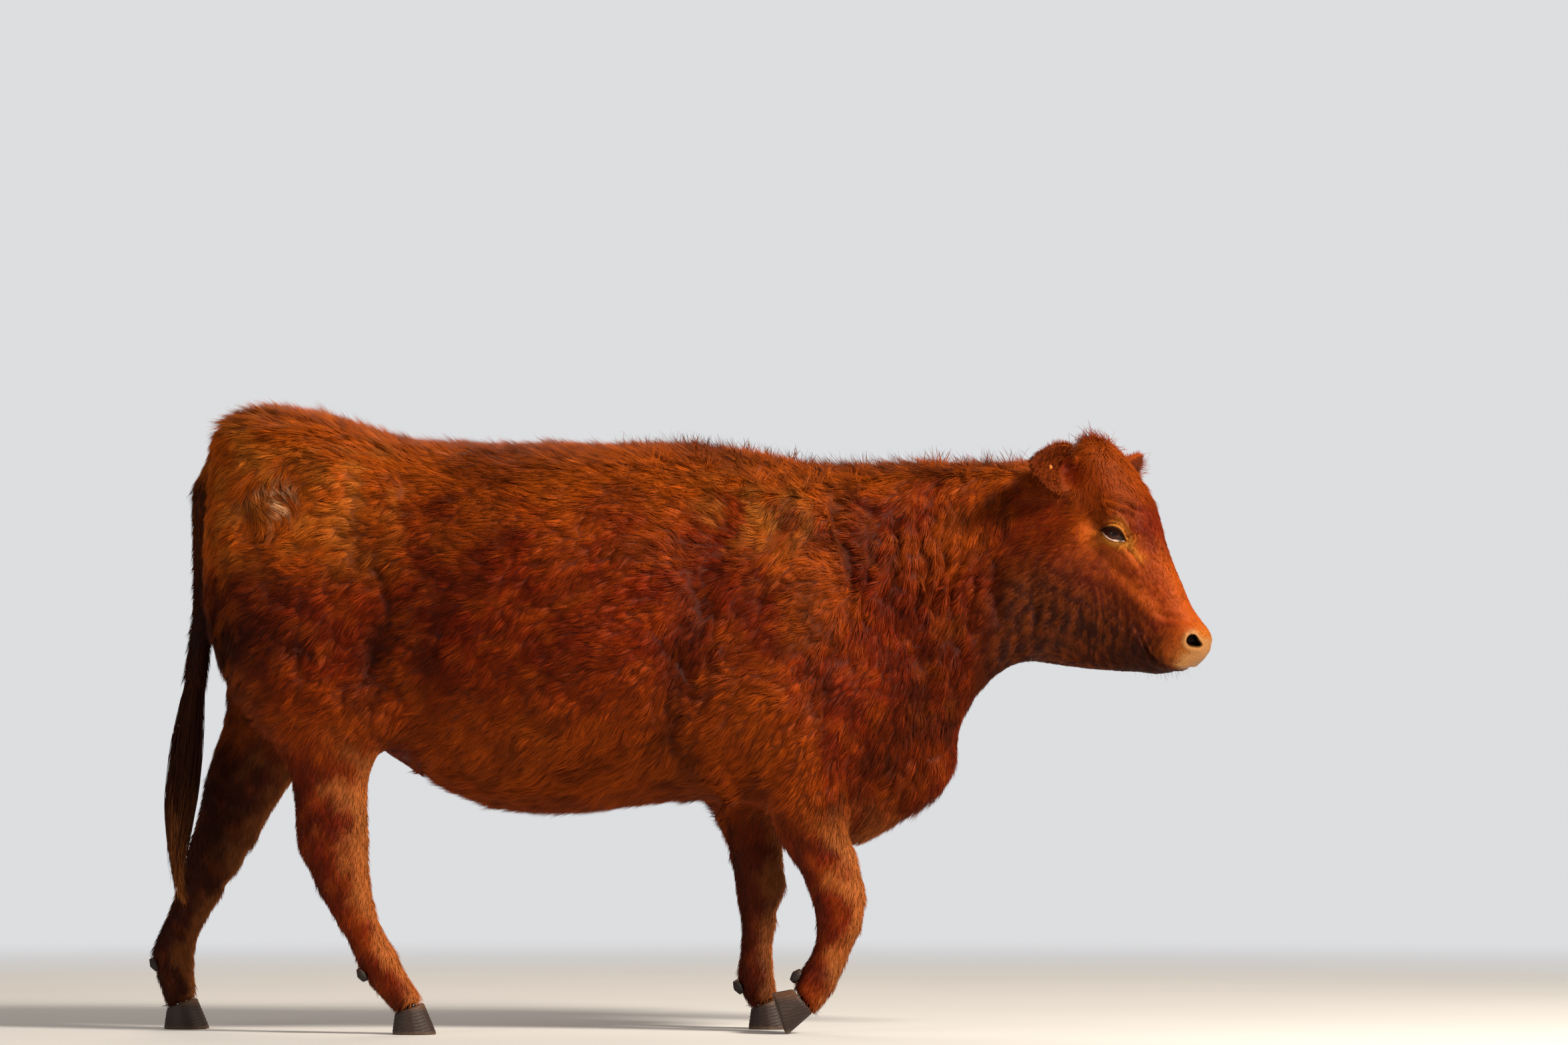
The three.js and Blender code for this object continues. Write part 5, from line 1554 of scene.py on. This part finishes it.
# %% [markdown]
# Cattle hair is keratin, the stuff of horn, grown with a scaly skin. The scales scatter most of the
# gloss, so a coat shows a soft sheen along its waves and no sharp highlights. The real hairs are a
# twentieth of a millimetre thick, far too fine to show, so the grain on each lock is drawn at 1.5 mm.

# %% Dry keratin hair
hair, hair_shader = new_material(
    "cattle hair, dry keratin",
    {"Roughness": 0.55, "IOR": 1.55, "Specular IOR Level": 0.12, "Specular Tint": (1.0, 0.55, 0.36, 1)},
)
HAIR_GRAIN = 1 / (1.5 * mm)
grain = noise(hair, own_place(hair), HAIR_GRAIN)
tinted(hair, hair_shader, "coat colour", spread(hair, grain, 0.82, 1.12, 0.3, 0.7))
embossed(hair, hair_shader, grain, 0.25, 0.4 * mm)
for piece in coat:
    piece.data.materials.append(hair)

# %% [markdown]
# ## Thinning the hide under the coat
# Every lock is rooted by now, so the hide has done its fine work. Under the long hair of the body its small
# faces show nothing, and they are merged there. The head, the legs and the tail keep all of theirs.

# %% Thin the hide
KEPT_SHARE = 0.62


def thin(body, share, where):
    """Merges the faces of a piece down to `share` of their number, only where `where` is true."""
    group = body.vertex_groups.new(name="thinned")
    group.add(np.flatnonzero(where).tolist(), 1.0, "REPLACE")
    mesh = applied(body, "DECIMATE", ratio=share, vertex_group=group.name)
    body.vertex_groups.clear()
    return mesh


under_coat = (hide_part["head"] + hide_part["leg"] + hide_part["tail"] + hide_part["ear"]) < 0.01
hide_mesh = thin(hide, KEPT_SHARE, under_coat)
layers = list(hide_mesh.color_attributes.keys())
print("thinned hide:", len(triangles_of(hide_mesh)), "triangles, painted with", layers)

# %% [markdown]
# The hide shows where the coat is thin: between the locks of the face, on the lids and on the nose. Bare
# nose skin is pebbled, with fine grooves every three millimetres or so, and a little moist.

# %% Short hair on hide
skin, skin_shader = new_material(
    "short hair on hide, moist where bare", {"IOR": 1.45, "Specular IOR Level": 0.14}
)
PEBBLE, FUR_GRAIN = 1 / (3 * mm), 1 / (2 * mm)
place = own_place(skin)
bare_share = add(skin, "ShaderNodeVertexColor", {"layer_name": "bare skin"}).outputs["Color"]
cells = {"Scale": PEBBLE, "feature": "DISTANCE_TO_EDGE"}
pebbles = add(skin, "ShaderNodeTexVoronoi", cells, {"Vector": place}).outputs["Distance"]
grain = noise(skin, place, FUR_GRAIN, 3.0)
height = mixed(skin, bare_share, grain, spread(skin, pebbles, 0.0, 1.0, 0.0, 0.12))
tinted(skin, skin_shader, "coat colour", spread(skin, grain, 0.72, 1.15, 0.3, 0.7))
link(skin, spread(skin, bare_share, 0.68, 0.38), skin_shader.inputs["Roughness"])
embossed(skin, skin_shader, height, 0.5, 0.5 * mm)
hide_mesh.materials.append(skin)
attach(hide, "root")
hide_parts(*flesh_names)

# %% [markdown]
# Hoof horn is the same keratin, grown solid. It is dull with dust on the wall and worn pale at the edge.

# %% Horn of the claws
horn_material, horn_shader = new_material(
    "hoof horn, dull and dusty", {"Roughness": 0.6, "IOR": 1.55, "Specular IOR Level": 0.3}
)
FIBRE = 1 / (1.2 * mm)
place = own_place(horn_material)
stretched = add(horn_material, "ShaderNodeMapping", {"Scale": (1, 1, 0.15)}, {"Vector": place})
fibres = noise(horn_material, stretched.outputs["Vector"], FIBRE, 3.0)
tinted(horn_material, horn_shader, "horn colour", spread(horn_material, fibres, 0.7, 1.25, 0.3, 0.7))
embossed(horn_material, horn_shader, fibres, 0.35, 0.3 * mm)
for piece in hooves + dewclaws:
    piece.data.materials.append(horn_material)

# %% [markdown]
# The eye's gloss comes from two layers: the cornea, and the film of tears over it as a clear coat.

# %% Wet cornea
cornea, cornea_shader = new_material(
    "wet eye, dark iris under a clear cornea",
    {"Roughness": 0.5, "IOR": 1.376, "Specular IOR Level": 0.15, "Coat Weight": 0.6, "Coat Roughness": 0.02,
     "Coat IOR": 1.336},
)
IRIS_SPECK = 1 / (0.8 * mm)
specks = noise(cornea, own_place(cornea), IRIS_SPECK)
tinted(cornea, cornea_shader, "eye colour", spread(cornea, specks, 0.75, 1.2))
for eye in eyes:
    eye.data.materials.append(cornea)

# %% [markdown]
# A tag stud is moulded in soft polyurethane. Sun bleaches it unevenly and dust takes off its shine.

# %% Moulded polyurethane
tag, tag_shader = new_material("moulded polyurethane, weathered orange", {"IOR": 1.5})
FADE = 1 / (4 * mm)
fade = noise(tag, own_place(tag), FADE, 3.0)
pale, fresh = (*to_linear("#e8913a"), 1), (*to_linear("#e06a12"), 1)
link(tag, mixed(tag, fade, pale, fresh), tag_shader.inputs["Base Color"])
link(tag, spread(tag, fade, 0.35, 0.6), tag_shader.inputs["Roughness"])
embossed(tag, tag_shader, fade, 0.2, 0.2 * mm)
for stud_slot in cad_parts["ear_stud"].material_slots:
    stud_slot.material = tag

# %% [markdown]
# ## Studio
# A plain pale floor that fades into a pale surround, one strong warm light high in front of the animal,
# a weak fill, and a light from its far side that edges the back. The camera is a long lens fifteen metres
# off.

# %% Floor and surround
scene = bpy.context.scene
scene.view_settings.view_transform = "Standard"
FLOOR = 7.0
corners = [(-FLOOR, -FLOOR, 0), (FLOOR, -FLOOR, 0), (FLOOR, FLOOR, 0), (-FLOOR, FLOOR, 0)]
floor = make_mesh("floor", corners, [[0, 1, 2, 3]])
plaster, plaster_shader = new_material("pale matt plaster", {"Roughness": 0.9})
place = own_place(plaster)
cloudy = mixed(plaster, noise(plaster, place, 1.2, 4.0), (0.64, 0.63, 0.61, 1), (0.70, 0.69, 0.67, 1))
link(plaster, cloudy, plaster_shader.inputs["Base Color"])
away = add(plaster, "ShaderNodeVectorMath", {"operation": "LENGTH"}, {"Vector": place})
rise = {"From Min": 2.6, "From Max": 6.6, "interpolation_type": "SMOOTHSTEP"}
edge = add(plaster, "ShaderNodeMapRange", rise, {"Value": away.outputs["Value"]})
clear = add(plaster, "ShaderNodeBsdfTransparent")
fading = add(plaster, "ShaderNodeMixShader", {}, {"Fac": edge.outputs["Result"]})
link(plaster, plaster_shader.outputs["BSDF"], fading.inputs[1])
link(plaster, clear.outputs["BSDF"], fading.inputs[2])
link(plaster, fading.outputs["Shader"], plaster.node_tree.nodes["Material Output"].inputs["Surface"])
floor.data.materials.append(plaster)

world = bpy.data.worlds.new("studio")
world.use_nodes = True
nodes = world.node_tree.nodes
surround = nodes["Background"]
surround.inputs["Color"].default_value = (0.90, 0.91, 0.93, 1)
path = nodes.new("ShaderNodeLightPath")
strength = nodes.new("ShaderNodeMapRange")
strength.inputs["To Min"].default_value, strength.inputs["To Max"].default_value = 0.22, 0.80
world.node_tree.links.new(path.outputs["Is Camera Ray"], strength.inputs["Value"])
world.node_tree.links.new(strength.outputs["Result"], surround.inputs["Strength"])
scene.world = world

# %% Lights and camera
AIM = Vector((0, 0, 0.75))
LENS_MM, SENSOR_MM = 173.2, 36
CAMERA_PLACE, CAMERA_PITCH = (0.2154, -15.3, 0.63), math.radians(91.5)


def soft_box(name, place, size, watts, colour):
    """A square light that looks at the middle of the animal."""
    light = bpy.data.lights.new(name, "AREA")
    light.energy, light.size, light.color = watts, size, colour
    lamp = bpy.data.objects.new(name, light)
    scene.collection.objects.link(lamp)
    lamp.location = place
    lamp.rotation_euler = (AIM - lamp.location).to_track_quat("-Z", "Y").to_euler()


soft_box("key", (4.7, -3.7, 4.6), 1.3, 900, (1.0, 0.90, 0.78))
soft_box("fill", (-4.5, -5.0, 2.0), 3.0, 70, (1.0, 0.94, 0.88))
soft_box("rim", (-1.0, 4.0, 4.5), 2.5, 100, (1.0, 0.84, 0.70))

lens = bpy.data.cameras.new("camera")
lens.lens, lens.sensor_width = LENS_MM, SENSOR_MM
camera = bpy.data.objects.new("camera", lens)
scene.collection.objects.link(camera)
camera.location = CAMERA_PLACE
camera.rotation_euler = (CAMERA_PITCH, 0, 0)
scene.camera = camera
